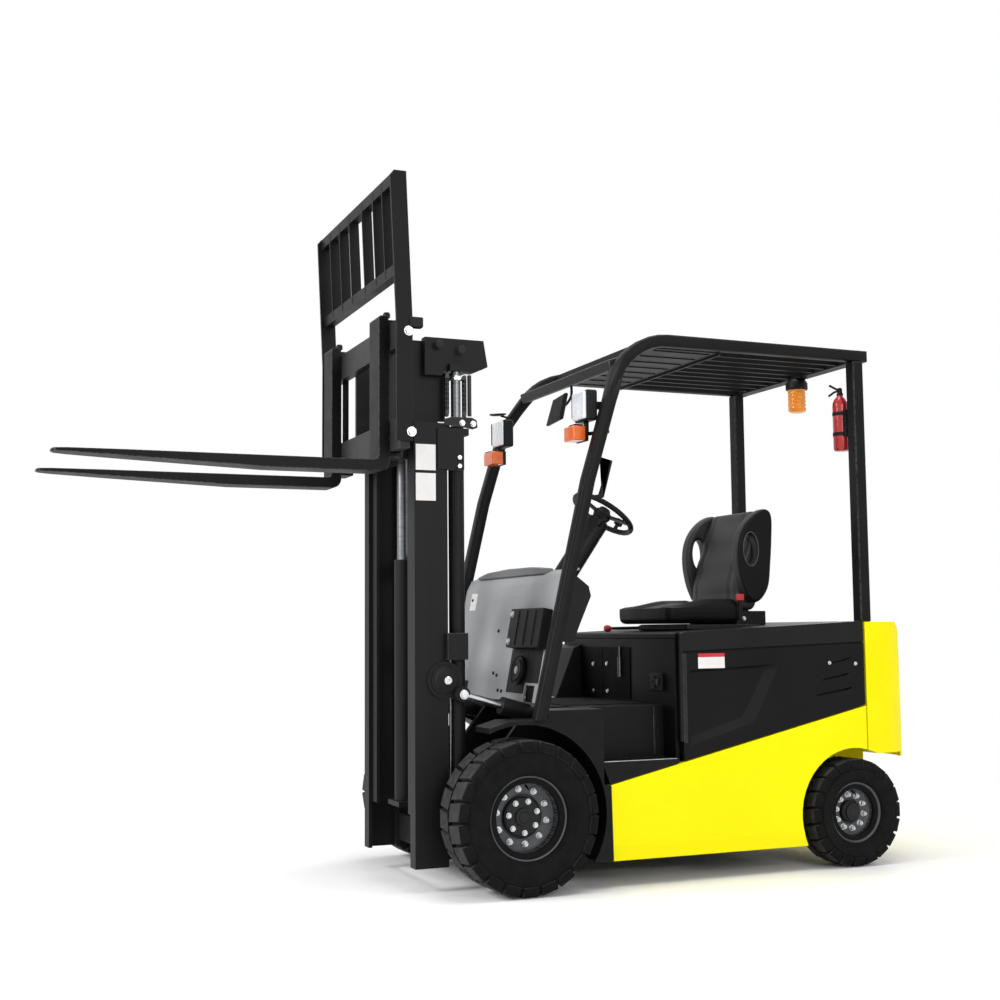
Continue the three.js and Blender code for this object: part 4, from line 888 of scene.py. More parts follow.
# ---------------------------------------------------------------- hood fittings
bolts(
    "hood_side_bolts", [(at(x, s * 549.6, z), Y * s) for s in (1, -1) for x, z in ((-1432, 862), (-1566, 857))],
    "hood", 6.5, 4,
)
for where, side in SIDES:
    single(
        where + "_blank_label", WHITE_FILM, "hood", corner_box,
        -911, -785, side * 549.8, side * 550.6, 850, 896,
    )
    single(
        where + "_label_band", RED_PLASTIC, "hood", corner_box,
        -911, -785, side * 549.8, side * 550.7, 896.4, 911,
    )
    # A trim strip in paler carriage paint closes the front corner of the hood; its paler paint is a painted
    # highlight along the corner.
    single(
        where + "_corner_strip", CARRIAGE_PAINT, "hood", plate,
        [(-712, 552), (-729, 552), (-729, hood_groove(-712) - 8), (-712, hood_groove(-712) - 8)], "y",
        side * 549.2, side * 552, edge=1.2,
    )
    # The rounded front corner in the paler colour: a painted highlight down the hood's front edge.
    single(
        where + "_corner_roll", BAND_AND_HIGHLIGHT_PANEL, "hood", corner_box,
        -717, -698.5, side * 532, side * 551.6, 556, hood_top(-700) - 3, edge=8.0, segments=4,
    )

# Hood release arm: a grey lever beside the seat with a red knob.
bm = bmesh.new()
rod(bm, at(-985, -300, hood_top(-985) + 9), at(-822, -300, hood_top(-822) + 14), 7, 16)
rod(bm, at(-985, -300, hood_top(-985) - 2), at(-985, -300, hood_top(-985) + 18), 13, 20)
piece("release_arm", bm, CARRIAGE_PAINT, "hood", 1.0)
single(
    "release_knob", RED_PLASTIC, "hood", lathe,
    [(0, 0), (9, 0), (15, 8), (17, 20), (13, 32), (0, 36)], at(-824, -300, hood_top(-822) + 14), X, 28,
)

# Raised side console at the far end of the bulkhead.
single(
    "side_console", BLACK_POWDER, "chassis", plate,
    [(-689.5, 703.4), (-556, 703.4), (-650, 930), (-689.5, 946)], "y", -549, -342, edge=2.5, segments=3,
)
# Battery compartment front: two screwed panels, the hood latch and a gas spring.
for name, y0, y1 in (("far", -340, -119), ("near", -115, 140)):
    single(
        "bulkhead_panel_" + name, MATT_PANEL, "chassis", corner_box,
        -689.8, -685.6, y0, y1, 712, 934, edge=1.2,
    )
bolts(
    "bulkhead_bolts", [(at(-685.7, y, z), X) for y, z in ((-209, 857), (-211, 736), (-74, 860), (-70, 739))],
    "chassis", 8, 5,
)
single(
    "hood_latch_case", BLACK_PLASTIC, "chassis", corner_box,
    -689.8, -676, 332, 431, 756, 830, edge=4.0, segments=3,
)
bm = bmesh.new()
corner_box(bm, -676.2, -670, 352, 374, 768, 818)
corner_box(bm, -676.2, -666, 392, 412, 782, 806)
piece("hood_latch", bm, CARRIAGE_PAINT, "chassis", 2.0)
bm = bmesh.new()
rod(bm, at(-682, 52, 806), at(-682, 52, 890), 9, 18)
rod(bm, at(-682, 52, 888), at(-682, 52, 940), 5, 14)
piece("gas_spring", bm, OILED_ROD, "chassis", 0.6)


# ---------------------------------------------------------------- seat
def between(z, line):
    """Where a line of (z, x) pairs lies at height z."""
    for (z0, x0), (z1, x1) in zip(line, line[1:]):
        if z <= z1:
            t = max(0.0, (z - z0) / (z1 - z0))
            return x0 + (x1 - x0) * t * t * (3 - 2 * t)
    return line[-1][1]


def furrow(distance, width, depth):
    """A rounded furrow of that depth, nought beyond its width."""
    return -depth * max(0.0, 1 - (distance / width) ** 2) ** 2


def stuffed(name, low, high, radius, shape, coat, body, cells=34):
    """A padded block with rounded edges. shape moves each of its points, given as a vector in millimetres."""
    bm = bmesh.new()
    bmesh.ops.create_cube(bm, size=2)
    bmesh.ops.subdivide_edges(bm, edges=bm.edges[:], cuts=cells, use_grid_fill=True)
    low, high = Vector(low), Vector(high)
    middle, half = (low + high) / 2, (high - low) / 2
    for v in bm.verts:
        spread = [math.sin(c * math.pi / 2) * h for c, h in zip(v.co, half)]
        core = Vector([max(radius - h, min(h - radius, c)) for c, h in zip(spread, half)])
        out = Vector(spread) - core
        place = core + out.normalized() * radius
        v.co = at(*shape(middle + place, out.normalized()))
    pad = piece(name, bm, coat, body, sharp=60)
    return pad


def cushion_shape(p, out):
    """Crowned top with two side rolls, a seat hollow, seams between them and a rolled front."""
    y, x = abs(p.y), p.x
    lift = 6 * math.cos(p.y / 240 * 1.4)
    lift += 15 * math.exp(-(((y - 192) / 42) ** 2))
    lift -= 13 * math.exp(-((p.y / 130) ** 2)) * math.exp(-(((x + 1040) / 120) ** 2))
    lift += furrow(y - 146, 9, 7)
    fall = max(0.0, min(1.0, (x + 1060) / 224))
    lift -= 32 * fall * fall * (3 - 2 * fall)
    waist = 5 * math.sin((p.z - 1034) / 102 * math.pi)
    nose = 10 * math.cos(p.y / 240 * 1.3) if out.x > 0.3 else 0
    return (x + nose + out.x * waist, p.y + out.y * waist, p.z + lift * max(0.0, out.z))


cushion = stuffed(
    "seat_cushion_pad", (-1188, -236, 1036), (-836, 236, 1128), 24, cushion_shape, SEAT_VINYL, "hood",
)
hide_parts("seat_cushion")

BACK_FRONT = ((1090, -1188), (1180, -1206), (1290, -1226), (1400, -1262), (1546, -1306))
BACK_REAR = ((1090, -1296), (1200, -1332), (1510, -1366), (1546, -1362))


def back_shape(p, out):
    """Follows the leaning shell; the lumbar part swells and two seams cross the front."""
    share = (p.x + 60) / 120
    front, rear = between(p.z, BACK_FRONT), between(p.z, BACK_REAR)
    narrow = 1 - 0.16 * max(0.0, (p.z - 1400) / 146) ** 2
    push = 0.0
    if out.x > 0:
        push = 7 * math.cos(p.y / 205 * 1.5) + 9 * math.exp(-(((p.z - 1230) / 60) ** 2))
        push += furrow(p.z - 1318, 10, 8) + furrow(abs(p.y) - 140, 9, 5)
        push *= out.x
    return (rear + (front - rear) * share + push, p.y * narrow, p.z)


# The backrest in the charcoal vinyl: a painted highlight over its front.
back = stuffed("seat_back_pad", (-60, -202, 1094), (60, 202, 1542), 26, back_shape, HIGHLIGHT_VINYL, "hood")
WING_RIM = (
    (-1224, 1150), (-1196, 1216), (-1178, 1310), (-1184, 1400), (-1216, 1470), (-1272, 1524), (-1330, 1546),
    (-1362, 1518), (-1362, 1420), (-1352, 1300), (-1338, 1200), (-1300, 1142), (-1258, 1126), (-1224, 1150),
)
SLOT_X, SLOT_Z, SLOT_HALF_X, SLOT_HALF_Z = -1246, 1364, 32, 68


def round_slot(a, half_x, half_z):
    """The place at angle a on an oval of that half length and half height, round the slot of a wing."""
    return SLOT_X + half_x * math.cos(a), SLOT_Z + half_z * math.sin(a)


for where, side in SIDES:
    # Hip and shoulder wing: a flat stuffed ear with an open slot.
    outer = smooth_line([Vector((*p, 0)) for p in WING_RIM], 5)[:-1]
    bm = bmesh.new()
    loops = []
    for y, open_edge in ((192, False), (251, False), (251, True), (192, True)):
        ring = []
        for p in outer:
            a = math.atan2((p.y - SLOT_Z) / SLOT_HALF_Z, (p.x - SLOT_X) / SLOT_HALF_X)
            x, z = round_slot(a, SLOT_HALF_X, SLOT_HALF_Z) if open_edge else (p.x, p.y)
            ring.append(bm.verts.new(at(x, side * y, z)))
        loops.append(ring)
    for a, b in zip(loops, [*loops[1:], loops[0]]):
        for k in range(len(outer)):
            n = (k + 1) % len(outer)
            bm.faces.new((a[k], a[n], b[n], b[k]))
    wing = piece(where + "_seat_wing", bm, HIGHLIGHT_VINYL, "hood", 15.0, 5, sharp=80)
    # The wings' outward faces go back to the dark vinyl, so their rims and inner faces keep the charcoal's
    # painted highlight.
    recoat(wing, SEAT_VINYL, lambda spot, facing: facing.y * side > 0.5)
    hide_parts("seat_backrest")
    bm = bmesh.new()
    seam = [round_slot(math.tau * k / 40, 39, 76) for k in range(40)]
    tube(bm, [at(x, side * 250, z) for x, z in seam], 2.4, 8, loop=True)
    piece(where + "_wing_piping", bm, PIPING, "hood", sharp=80)
    # Hinge cover at the foot of the wing.
    single(
        where + "_recline_cover", BLACK_PLASTIC, "hood", lathe,
        [(0, 0), (30, 0), (30, 5), (25, 10), (10, 11), (9, 8), (0, 8)], at(-1237, side * 236, 1204), Y * side,
        32, edge=0.8,
    )
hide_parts("seat_backrest")
skin("seat_base", BLACK_PLASTIC, 4.0, segments=3)
single("buckle_stalk", BLACK_PLASTIC, "hood", corner_box, -1194, -1176, 241, 253, 1050, 1138, edge=3.0)
single("belt_buckle", RED_PLASTIC, "hood", corner_box, -1202, -1168, 238, 256, 1134, 1164, edge=4.0, segments=3)
bolts(
    "seat_base_bolts", [(at(x, s * 204.6, 1056), Y * s) for s in (1, -1) for x in (-1230, -1030)], "hood", 8, 5,
)
for where, side in SIDES:
    slide = (-1300, -930, side * 208, side * 222, 1012, 1030)
    single("seat_slide_" + where, CARRIAGE_PAINT, "hood", corner_box, *slide, edge=1.5)

# ---------------------------------------------------------------- cowl, column and controls
skin("front_cowl", GREY_SHEET, 1.0)
skin("dashboard", BLACK_PLASTIC, 8.0, segments=3)
skin("steering_wheel", BLACK_PLASTIC, 3.0, segments=3)
skin("grab_handle", BLACK_PLASTIC, 4.0, segments=3)


# The cowl's outer face: the heights of its foot and top, where the foot is, how far the top lies behind it,
# the gap that keeps a fitting clear of it, and the way it faces.
COWL_FOOT, COWL_TOP, COWL_X, COWL_LEAN, COWL_GAP = 722, 1196, -104, 92, 4
COWL_FACING = (0.982, 0.19)


def cowl_place(y, z, out):
    """A point over the sloping outer face of the cowl, out millimetres in front of it."""
    share = (z - COWL_FOOT) / (COWL_TOP - COWL_FOOT)
    return at(COWL_X - COWL_LEAN * share + COWL_GAP + out * COWL_FACING[0], y, z + out * COWL_FACING[1])


def cowl_plate(bm, y0, y1, z0, z1, low, high):
    """A flat block that lies along the cowl."""
    block(bm, [cowl_place(y, z, out) for out in (low, high) for y in (y0, y1) for z in (z0, z1)])


slope = (cowl_place(0, 900, 1) - cowl_place(0, 900, 0)).normalized()
# The cowl's rolled top, in the darker grey of painted shade.
bm = bmesh.new()
hump = [(-448, 1244), (-440, 1256), (-330, 1272), (-100, 1280), (150, 1278), (276, 1268), (284, 1244)]
plate(bm, hump, "x", -266, -212)
piece("cowl_top_roll", bm, SHADED_SHEET, "chassis", 9.0, 4)
single("relay_box", BLACK_PLASTIC, "chassis", cowl_plate, 150, 470, 934, 1094, 0, 46, edge=5.0, segments=3)
bm = bmesh.new()
for y in (236, 318, 402):
    cowl_plate(bm, y, y + 8, 944, 1084, 45, 49)
piece("relay_box_ribs", bm, BLACK_PLASTIC, "chassis", 1.5)
bolts("relay_box_bolts", [(cowl_place(174, z, 45), slope) for z in (958, 1070)], "chassis", 11, 5)
# A thin black plate on the cowl where the horn sits: painted shade standing in for the recess.
bm = bmesh.new()
cowl_plate(bm, 132, 306, 756, 934, 0.2, 3.5)
cowl_plate(bm, 306, 440, 800, 934, 0.2, 3.5)
piece("horn_recess_painted_shade", bm, CAST_IRON, "chassis", 1.0)
single(
    "horn", BLACK_PLASTIC, "chassis", lathe,
    [(0, 3), (18, 3), (20, 22), (40, 24), (46, 18), (56, 16), (60, 20), (60, 8), (54, 0), (0, 0)],
    cowl_place(258, 846, 3), slope, 40, edge=0.8,
)
single(
    "horn_cap", BRIGHT_ALUMINIUM, "chassis", lathe,
    [(0, 0), (17, 0), (17, 3), (0, 4)], cowl_place(258, 846, 24), slope, 28,
)
bm = bmesh.new()
corner_box(bm, -126, -118, 302, 420, 724, 812)
corner_box(bm, -126, -118, -420, -302, 724, 812)
piece("tilt_slot_flaps", bm, MAT_RUBBER, "chassis", 1.5)
screws = ((-60, 1010), (-40, 830), (0, 822), (40, 760), (80, 758), (-430, 1150))
screws = [(cowl_place(y, z, 0), slope) for y, z in screws]
bolts("cowl_screws", screws, "chassis", 6, 3, 12, 8, BLACK_PLASTIC)
single("cowl_blank_label", WHITE_FILM, "chassis", cowl_plate, -452, -380, 1104, 1180, 0.2, 0.8)

HUB = at(-638, 0, 1526)
DOWN = Vector((math.sin(math.radians(35)), 0, -math.cos(math.radians(35))))
single(
    "column_shroud", BLACK_PLASTIC, "chassis", lathe,
    [(0, 36), (44, 36), (50, 44), (50, 96), (44, 140), (36, 176), (0, 176)], HUB, DOWN, 40, edge=2.0,
)
single(
    "horn_button", CARRIAGE_PAINT, "steering_wheel_body", lathe,
    [(0, 0), (26, 0), (28, -6), (24, -13), (0, -15)], HUB - DOWN * 0.012, DOWN, 36,
)
for (where, side), reach in zip(SIDES, (128, 118)):
    bm = bmesh.new()
    root = HUB + DOWN * 0.074 + Y * side * 0.04
    tip = HUB + DOWN * 0.05 + Y * side * reach * MM + X * 0.03
    tube(bm, smooth_line([root, (root + tip) / 2 + DOWN * -0.006, tip], 6), 5, 12)
    piece(where + "_stalk", bm, BLACK_PLASTIC, "chassis", sharp=60)
    knob = [(0, -4), (8, 0), (10, 12), (8, 24), (0, 28)]
    start = tip - (tip - root).normalized() * 0.01
    single(where + "_stalk_knob", BLACK_PLASTIC, "chassis", lathe, knob, start, tip - root, 24, sharp=60)

# ---------------------------------------------------------------- overhead guard
for where, side in SIDES:
    skin(where + "_front_pillar", BLACK_POWDER, 0.0)
    skin(where + "_rear_pillar", BLACK_POWDER, 6.0, segments=3)
skin("roof_grille", BLACK_POWDER, 2.0)
skin("guard_front_crossbar", CARRIAGE_PAINT, 5.0, segments=3)
single("roof_front_panel", BLACK_POWDER, "chassis", corner_box, -980, -640, -458, 458, 2189.5, 2191.8)
single("roof_panel_lip", CARRIAGE_PAINT, "chassis", corner_box, -984, -976, -458, 458, 2180, 2191.8, edge=1.0)
bm = bmesh.new()
corner_box(bm, -950, -676, -424, -416, 2185.5, 2190)
grow(
    shown("roof_panel_ribs", bm), ROW, {"Count": 8, "Step": (0, 0.12, 0), "Coat": BLACK_POWDER}, "chassis", 1.2,
)

for where, side in SIDES:
    lens_in, lens_out = (412, 534) if side > 0 else (330, 452)
    skin(where + "_front_lamps", BLACK_PLASTIC, 3.0)
    single(
        where + "_headlamp_case", BLACK_PLASTIC, "chassis", corner_box,
        -352, -302, side * lens_in, side * lens_out, 1858, 1984, edge=9.0, segments=4,
    )
    single(
        where + "_headlamp_lens", LAMP_GLASS, "chassis", corner_box,
        -304, -290, side * (lens_in + 5), side * (lens_out - 5), 1864, 1978, edge=6.0, segments=4,
    )
    low_in, low_out = (410, 500) if side > 0 else (362, 468)
    single(
        where + "_signal_lens", AMBER_LENS, "chassis", corner_box,
        -312, -256, side * low_in, side * low_out, 1778, 1838, edge=5.0, segments=3,
    )
    single(
        where + "_signal_base", BLACK_PLASTIC, "chassis", corner_box,
        -326, -310, side * low_in, side * low_out, 1776, 1840, edge=3.0,
    )
    single(
        where + "_signal_arm", BLACK_PLASTIC, "chassis", rod,
        at(-322, side * 460, 1808), at(-392, side * 548, 1812), 8, 14,
    )

mirror = [(29, 2022), (156, 2035), (102, 1927), (-50, 1915)]
case = single("mirror_case", BLACK_PLASTIC, "chassis", plate, mirror, "x", -404, -384, edge=7.0, segments=4)
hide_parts("rear_view_mirror")
single(
    "mirror_glass", MIRROR_GLASS, "chassis", plate,
    [(46 + (y - 46) * 0.86, 1975 + (z - 1975) * 0.86) for y, z in mirror], "x", -405.2, -403.6, edge=0.3,
)
single(
    "mirror_arm", BLACK_PLASTIC, "chassis", tube,
    smooth_line([at(-470, 44, 2094), at(-468, 44, 2040), at(-440, 44, 2000), at(-402, 46, 1982)], 6), 6, 12,
    sharp=60,
)
single(
    "side_mirror", BLACK_PLASTIC, "chassis", lathe,
    [(0, -9), (26, -8), (40, -3), (42, 0), (40, 4), (0, 5)], at(-376, -578, 2046), (0.1, 0.12, 1), 40, sharp=45,
)
single(
    "side_mirror_arm", BLACK_PLASTIC, "chassis", tube,
    smooth_line([at(-436, -514, 2020), at(-420, -546, 2026), at(-388, -570, 2038)], 6), 5, 12, sharp=60,
)

# Warning beacon: a ribbed lens hung from a dark base.
low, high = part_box("beacon")
centre = (low + high) / 2
hang = Vector((centre.x, centre.y, 0))
bm = bmesh.new()
profile = [(0, 2034), (30, 2034), (38, 2038)]
for k in range(11):
    profile += [(43 if k % 2 else 41.5, 2042 + 9 * k), (43 if k % 2 else 41.5, 2048 + 9 * k)]
lathe(bm, [*profile, (44, 2142), (0, 2142)], hang, Z, 56)
lens_piece = piece("beacon_lens", bm, BEACON_LENS, "chassis", sharp=50)
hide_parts("beacon")
single(
    "beacon_base", BLACK_PLASTIC, "chassis", lathe,
    [(0, 2141), (48, 2141), (52, 2146), (52, 2172), (46, 2184), (40, 2191), (0, 2191)], hang, Z, 48, edge=1.0,
)

# Fire extinguisher: a drawn bottle, its valve with two grips, and a strap.
stand = at(-1640, 400, 0)
drawn = [
    (0, 1801), (28, 1801), (33, 1805), (35, 1812), (35, 2006),
    (33, 2020), (26, 2036), (15, 2047), (13, 2056), (0, 2056),
]
bottle = single("extinguisher_bottle", RED_ENAMEL, "chassis", lathe, drawn, stand, Z, 48, sharp=50)
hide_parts("fire_extinguisher")
bm = bmesh.new()
lathe(bm, [(0, 2054), (15, 2054), (15, 2062), (11, 2066), (11, 2082), (7, 2088), (0, 2088)], stand, Z, 24)
top = stand + Vector((0, 0, 2.076))
reach = Vector((0.8, -0.6, 0))
tube(bm, [top, top + reach * 0.02 + Z * 0.01, top + reach * 0.046 + Z * 0.026], 5, 10)
tube(bm, [top, top + reach * 0.024 - Z * 0.006, top + reach * 0.05 - Z * 0.024], 5, 10)
piece("extinguisher_valve", bm, BLACK_PLASTIC, "chassis", sharp=50)
bm = bmesh.new()
for z in (1868, 1960):
    lathe(bm, [(34.5, z), (36.6, z), (36.6, z + 16), (34.5, z + 16)], stand, Z, 48)
corner_box(bm, -1650, -1626, 434, 457.5, 1862, 1982)
piece("extinguisher_straps", bm, BLACK_PLASTIC, "chassis", 0.5)

# ---------------------------------------------------------------- mast
EYE = at(180, 0, 762)
skin("outer_mast", MAST_PAINT, 2.5)
skin("inner_mast", MAST_PAINT, 2.5)
for where, side in SIDES:
    skin(where + "_lift_cylinder", MAST_PAINT, 2.0)
    skin(where + "_lift_rod", OILED_ROD, 0.8)
    skin(where + "_tilt_cylinder", MAST_PAINT, 1.5)
    ram = skin(where + "_tilt_rod", CHROME, 1.0)
    recoat(ram, MAST_PAINT, lambda spot, facing: math.hypot(spot.x - EYE.x, spot.z - EYE.z) < 0.05)
    skin(where + "_fork", FORK_STEEL, 3.0)
skin("free_lift_cylinder", MAST_PAINT, 2.0)
skin("free_lift_rod", OILED_ROD, 1.0)
skin("carriage", CARRIAGE_PAINT, 2.5)
skin("load_backrest", BLACK_POWDER, 2.0)


# Millimetres from one chain link to the next.
LINK = 19


def leaf_chain(name, x, y, low, high, body):
    """A leaf chain: plates side by side on rivets, every second row half a link higher."""
    bm = bmesh.new()
    shape = []
    for foot, start in ((low, 180), (low + LINK, 0)):
        turns = [math.radians(d) for d in range(start, start + 181, 30)]
        shape += [(x + 8 * math.cos(a), foot + 8 * math.sin(a)) for a in turns]
    for layer, shift in ((-7, 0), (-3.4, LINK / 2), (0.2, 0), (3.8, LINK / 2)):
        plate(bm, [(a, b + shift) for a, b in shape], "y", y + layer, y + layer + 3)
    for z in (low, low + LINK / 2):
        rod(bm, at(x, y - 8.4, z), at(x, y + 8.2, z), 3.4, 8)
    link = shown(name, bm)
    count = int((high - low) / LINK)
    grow(link, ROW, {"Count": count, "Step": (0, 0, LINK * MM), "Coat": CHAIN_STEEL}, body)


for where, side in SIDES:
    # Chains and hose run from the outer mast's top to the crosshead; they are given both masts but are only
    # fixed where they are built.
    span = ("mast_outer", "mast_inner", at(0, side * 300, 1884), at(0, side * 300, 2052))
    leaf_chain(where + "_lift_chain", 215, side * 302, 1884, 2052, span)
    leaf_chain(where + "_back_chain", 134, side * 288, 1884, 2052, span)
    single(
        where + "_lift_hose", HOSE_RUBBER, span, tube,
        [at(116, side * 300, 2052), at(116, side * 300, 1884)], 8.5, 16, sharp=60,
    )
    # Chain anchor beside the top of the lift cylinder, with its lock nuts.
    bm = bmesh.new()
    plate(
        bm,
        [(240, 1838), (240, 1862), (206, 1872), (120, 1872), (100, 1862), (96, 1832), (118, 1824), (166, 1832)],
        "y", side * 333.4, side * 341,
    )
    corner_box(bm, 98, 216, side * 326, side * 338, 1846, 1858)
    piece(where + "_chain_anchor", bm, CARRIAGE_PAINT, "mast_outer", 2.0)
    nuts = [(at(x, side * 340.6, z), Y * side) for x, z in ((163, 1848), (116, 1846))]
    bolts(where + "_anchor_nuts", nuts, "mast_outer", 10, 8)
    single(
        where + "_clamp_plate", MAST_PAINT, "mast_outer", corner_box,
        156, 232, side * 333.4, side * 339, 1654, 1726, edge=2.0,
    )
    bolts(
        where + "_clamp_bolts", [(at(177, side * 338.6, z), Y * side) for z in (1672, 1707)], "mast_outer", 10,
        8,
    )
    # Printed plates are left blank.
    for k, (x0, x1, z0, z1) in enumerate(((276, 360, 1652, 1756), (276, 360, 1530, 1640))):
        single(
            f"{where}_mast_label_{k + 1}", WHITE_FILM, "mast_outer", corner_box,
            x0, x1, side * 333, side * 333.9, z0, z1,
        )
    # Guide strip that carries the chains down beside the inner upright.
    single(
        where + "_chain_guide", MAST_PAINT, "mast_inner", corner_box,
        208, 239.5, side * 247, side * 262, 1862, 2046, edge=1.5,
    )
    # Rods' top nuts under the crosshead, and the crosshead's plug screws.
    single(
        where + "_rod_nut", ZINC, "mast_inner", lathe,
        [(20.5, 2026), (25, 2026), (27, 2029), (27, 2041), (25, 2044.5), (20.5, 2044.5)],
        Vector((AXLE_X + 0.176, side * 0.3, 0)), Z, 6, edge=0.8,
    )
    low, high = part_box("inner_mast")
    face = high.y / MM if side > 0 else -low.y / MM
    plugs = [(at(x, side * (face - 1), z), Y * side) for x, z in ((255, 2168), (158, 2150))]
    bolts(where + "_crosshead_plugs", plugs, "mast_inner", 15, 2.5, 20, 18, CAST_IRON)
    # Tilt pivot: a lug box, a stepped cover and a polished pin.
    single(
        where + "_tilt_box", MAST_PAINT, "mast_outer", corner_box,
        152, 240, side * 330, side * 366, 898, 1004, edge=3.0,
    )
    single(
        where + "_pivot_cover", MAST_PAINT, "mast_outer", lathe,
        [(0, 0), (56, 0), (56, 7), (50, 9), (44, 9), (42, 14), (30, 16), (0, 16)], at(243, side * 340, 819),
        Y * side, 48, edge=0.8,
    )
    single(
        where + "_pivot_pin", ZINC, "mast_outer", lathe,
        [(0, 0), (17, 0), (17, 8), (13, 11), (6, 11), (5, 8), (0, 8)], at(236, side * 355, 817), Y * side, 32,
        edge=0.6,
    )
    bolts(where + "_tilt_pin_head", [(at(180, side * 388, 762), Y * side)], "mast_outer", 13, 9, 24, 19)
    # Pipe along the back of the upright.
    single(
        where + "_mast_pipe", OILED_ROD, "mast_outer", rod,
        at(214, side * 322, 330), at(214, side * 322, 896), 6, 12,
    )

# ---------------------------------------------------------------- carriage and forks
low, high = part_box("load_backrest")
for where, side in SIDES:
    edge = high.y / MM if side > 0 else -low.y / MM
    legs = [(at(x, side * (edge - 1), z), Y * side) for x, z in ((456, 2166), (445, 1774))]
    bolts(where + "_backrest_bolts", legs, "fork_carriage", 15, 10, 6, 19)
    # Fork latch: a sprung pin with a black grip on top of each fork.
    single(
        where + "_latch_block", CARRIAGE_PAINT, "fork_carriage", corner_box,
        470, 520, side * 316, side * 356, 2219.5, 2240, edge=3.0,
    )
    single(
        where + "_latch_grip", BLACK_PLASTIC, "fork_carriage", lathe,
        [(0, 0), (8, 0), (8, 14), (14, 18), (15, 30), (11, 38), (0, 40)], at(482, side * 336, 2238), Z, 28,
        sharp=40,
    )
single(
    "hose_clip", BLACK_PLASTIC, "fork_carriage", corner_box,
    398, 452, 504, 540, 2180, 2222, edge=6.0, segments=3,
)
bm = bmesh.new()
hang_line = ((352, -414, 2140), (344, -452, 2080), (338, -486, 1990), (342, -470, 1900), (352, -430, 1852))
tube(bm, smooth_line([at(*p) for p in hang_line], 10), 10, 14)
piece("carriage_hose", bm, HOSE_RUBBER, "fork_carriage", sharp=60)
bm = bmesh.new()
for spot in (at(352, -414, 2132), at(352, -428, 1842)):
    lathe(bm, [(0, 0), (15, 0), (15, 20), (0, 20)], spot, Z, 6)
piece("hose_fittings", bm, ZINC, "fork_carriage", 1.0)

# ---------------------------------------------------------------- tail
for where, side in SIDES:
    single(
        where + "_reflector", RED_PLASTIC, "chassis", corner_box,
        -1902, -1893, side * 300, side * 380, 900, 960, edge=3.0, segments=3,
    )

# ---------------------------------------------------------------- studio
def lamp(name, place, aim, size, power):
    """A round soft lamp that points at aim; places and size in metres, power in watts."""
    light = bpy.data.lights.new(name, "AREA")
    light.shape = "DISK"
    light.size = size
    light.energy = power
    obj = bpy.data.objects.new(name, light)
    obj.location = place
    obj.rotation_euler = (Vector(aim) - Vector(place)).to_track_quat("-Z", "Y").to_euler()
    bpy.context.scene.collection.objects.link(obj)


lamp("key_front", (6.0, 0.2, 4.0), (0, 0, 1.0), 3.2, 340)
lamp("overhead", (-0.8, 0.8, 6.5), (-0.4, 0, 1.0), 4.0, 190)
lamp("fill_side", (-1.0, 7.0, 3.0), (-0.6, 0, 0.8), 3.0, 110)
lamp("rear_rim", (-5.0, -3.0, 4.0), (0, 0, 1.0), 3.0, 90)


def behind_it(tree):
    """One where the ray comes from the camera, from a shiny face or through a clear one; otherwise nought."""
    path = add(tree, "ShaderNodeLightPath")
    shiny = add(
        tree, "ShaderNodeMath", {0: path.outputs["Is Glossy Ray"], 1: path.outputs["Is Transmission Ray"]},
        operation="MAXIMUM",
    )
    seen = add(
        tree, "ShaderNodeMath", {0: path.outputs["Is Camera Ray"], 1: shiny.outputs[0]}, operation="MAXIMUM",
    )
    return seen.outputs[0]


world = bpy.data.worlds.new("studio")
bpy.context.scene.world = world
world.use_nodes = True
sky = world.node_tree
sky.nodes.clear()
seen = behind_it(sky)
bright = add(sky, "ShaderNodeMapRange", {"Value": seen, "To Min": 0.55, "To Max": 1.0})
ground = add(sky, "ShaderNodeBackground", {"Color": (1, 1, 1, 1), "Strength": bright.outputs[0]})
add(sky, "ShaderNodeOutputWorld", {"Surface": ground.outputs[0]})

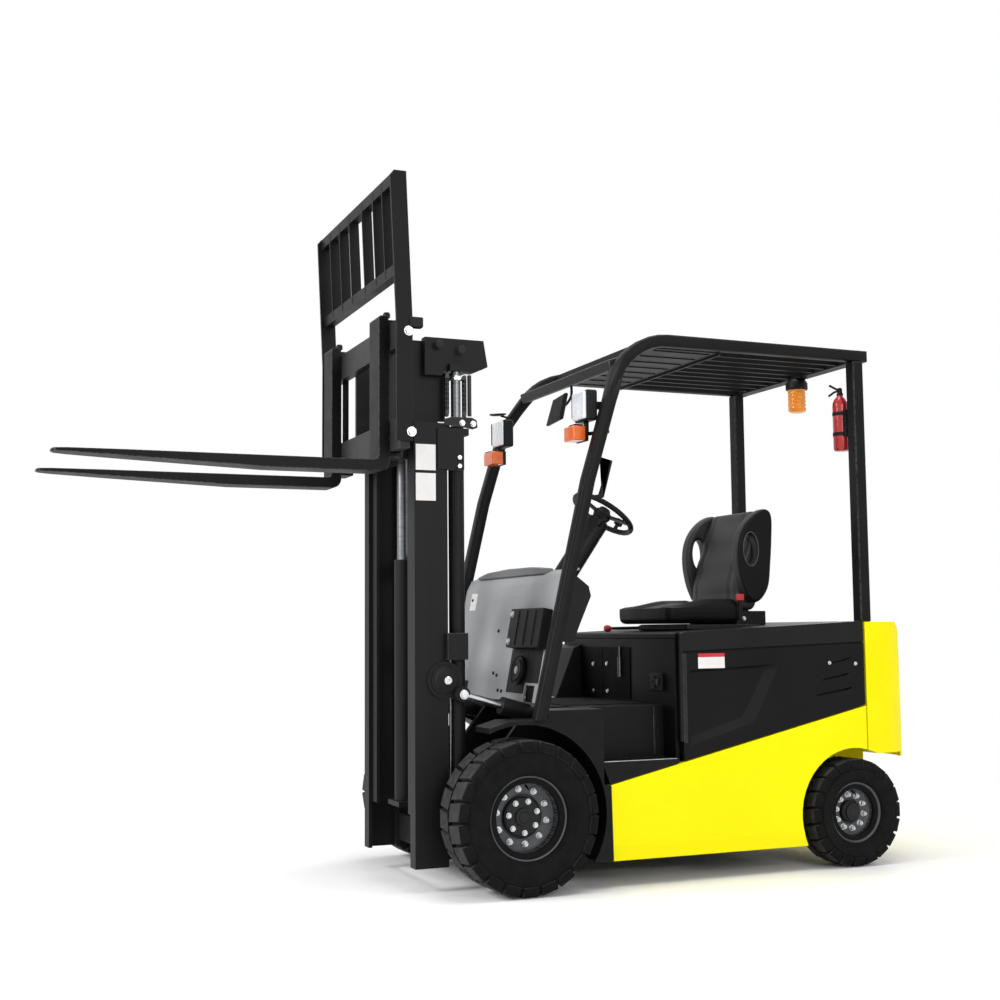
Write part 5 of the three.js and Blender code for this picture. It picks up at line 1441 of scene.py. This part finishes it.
# A pale floor that keeps the truck's soft shadow near it and fades into the white backdrop.
bm = bmesh.new()
bmesh.ops.create_grid(bm, x_segments=2, y_segments=2, size=14)
mesh = bpy.data.meshes.new("studio_floor")
bm.to_mesh(mesh)
bm.free()
floor = bpy.data.objects.new("studio_floor", mesh)
bpy.context.scene.collection.objects.link(floor)
concrete = bpy.data.materials.new("white_studio_floor")
concrete.use_nodes = True
tree = concrete.node_tree
tree.nodes.clear()
place = add(tree, "ShaderNodeTexCoord")
far = add(tree, "ShaderNodeVectorMath", {0: place.outputs["Object"]}, operation="LENGTH")
fade = add(tree, "ShaderNodeMapRange", {"Value": far.outputs["Value"], "From Min": 2.2, "From Max": 4.2})
share = add(tree, "ShaderNodeMath", {0: fade.outputs[0], 1: behind_it(tree)}, operation="MULTIPLY")
matt = add(tree, "ShaderNodeBsdfDiffuse", {"Color": (0.92, 0.92, 0.92, 1)})
glow = add(tree, "ShaderNodeEmission", {"Color": (1, 1, 1, 1), "Strength": 1.0})
both = add(tree, "ShaderNodeMixShader", {0: share.outputs[0], 1: matt.outputs[0], 2: glow.outputs[0]})
add(tree, "ShaderNodeOutputMaterial", {"Surface": both.outputs[0]})
mesh.materials.append(concrete)

# ---------------------------------------------------------------- camera
CAMERA_PLACE = Vector((2.2552, 5.5514, 1.0123))
YAW, PITCH, ROLL = (math.radians(a) for a in (-112.703, 5.338, -0.497))
forward = Vector((math.cos(PITCH) * math.cos(YAW), math.cos(PITCH) * math.sin(YAW), math.sin(PITCH)))
level = forward.cross(Z).normalized()
upward = level.cross(forward)
right = level * math.cos(ROLL) + upward * math.sin(ROLL)
up = upward * math.cos(ROLL) - level * math.sin(ROLL)
lens = bpy.data.cameras.new("camera")
lens.lens = 50.26
lens.sensor_width = 36
lens.clip_start, lens.clip_end = 0.1, 60
camera = bpy.data.objects.new("camera", lens)
turn = Matrix((right, up, -forward)).transposed().to_4x4()
camera.matrix_world = Matrix.Translation(CAMERA_PLACE) @ turn
bpy.context.scene.collection.objects.link(camera)
bpy.context.scene.camera = camera
bpy.context.scene.view_settings.view_transform = "Standard"
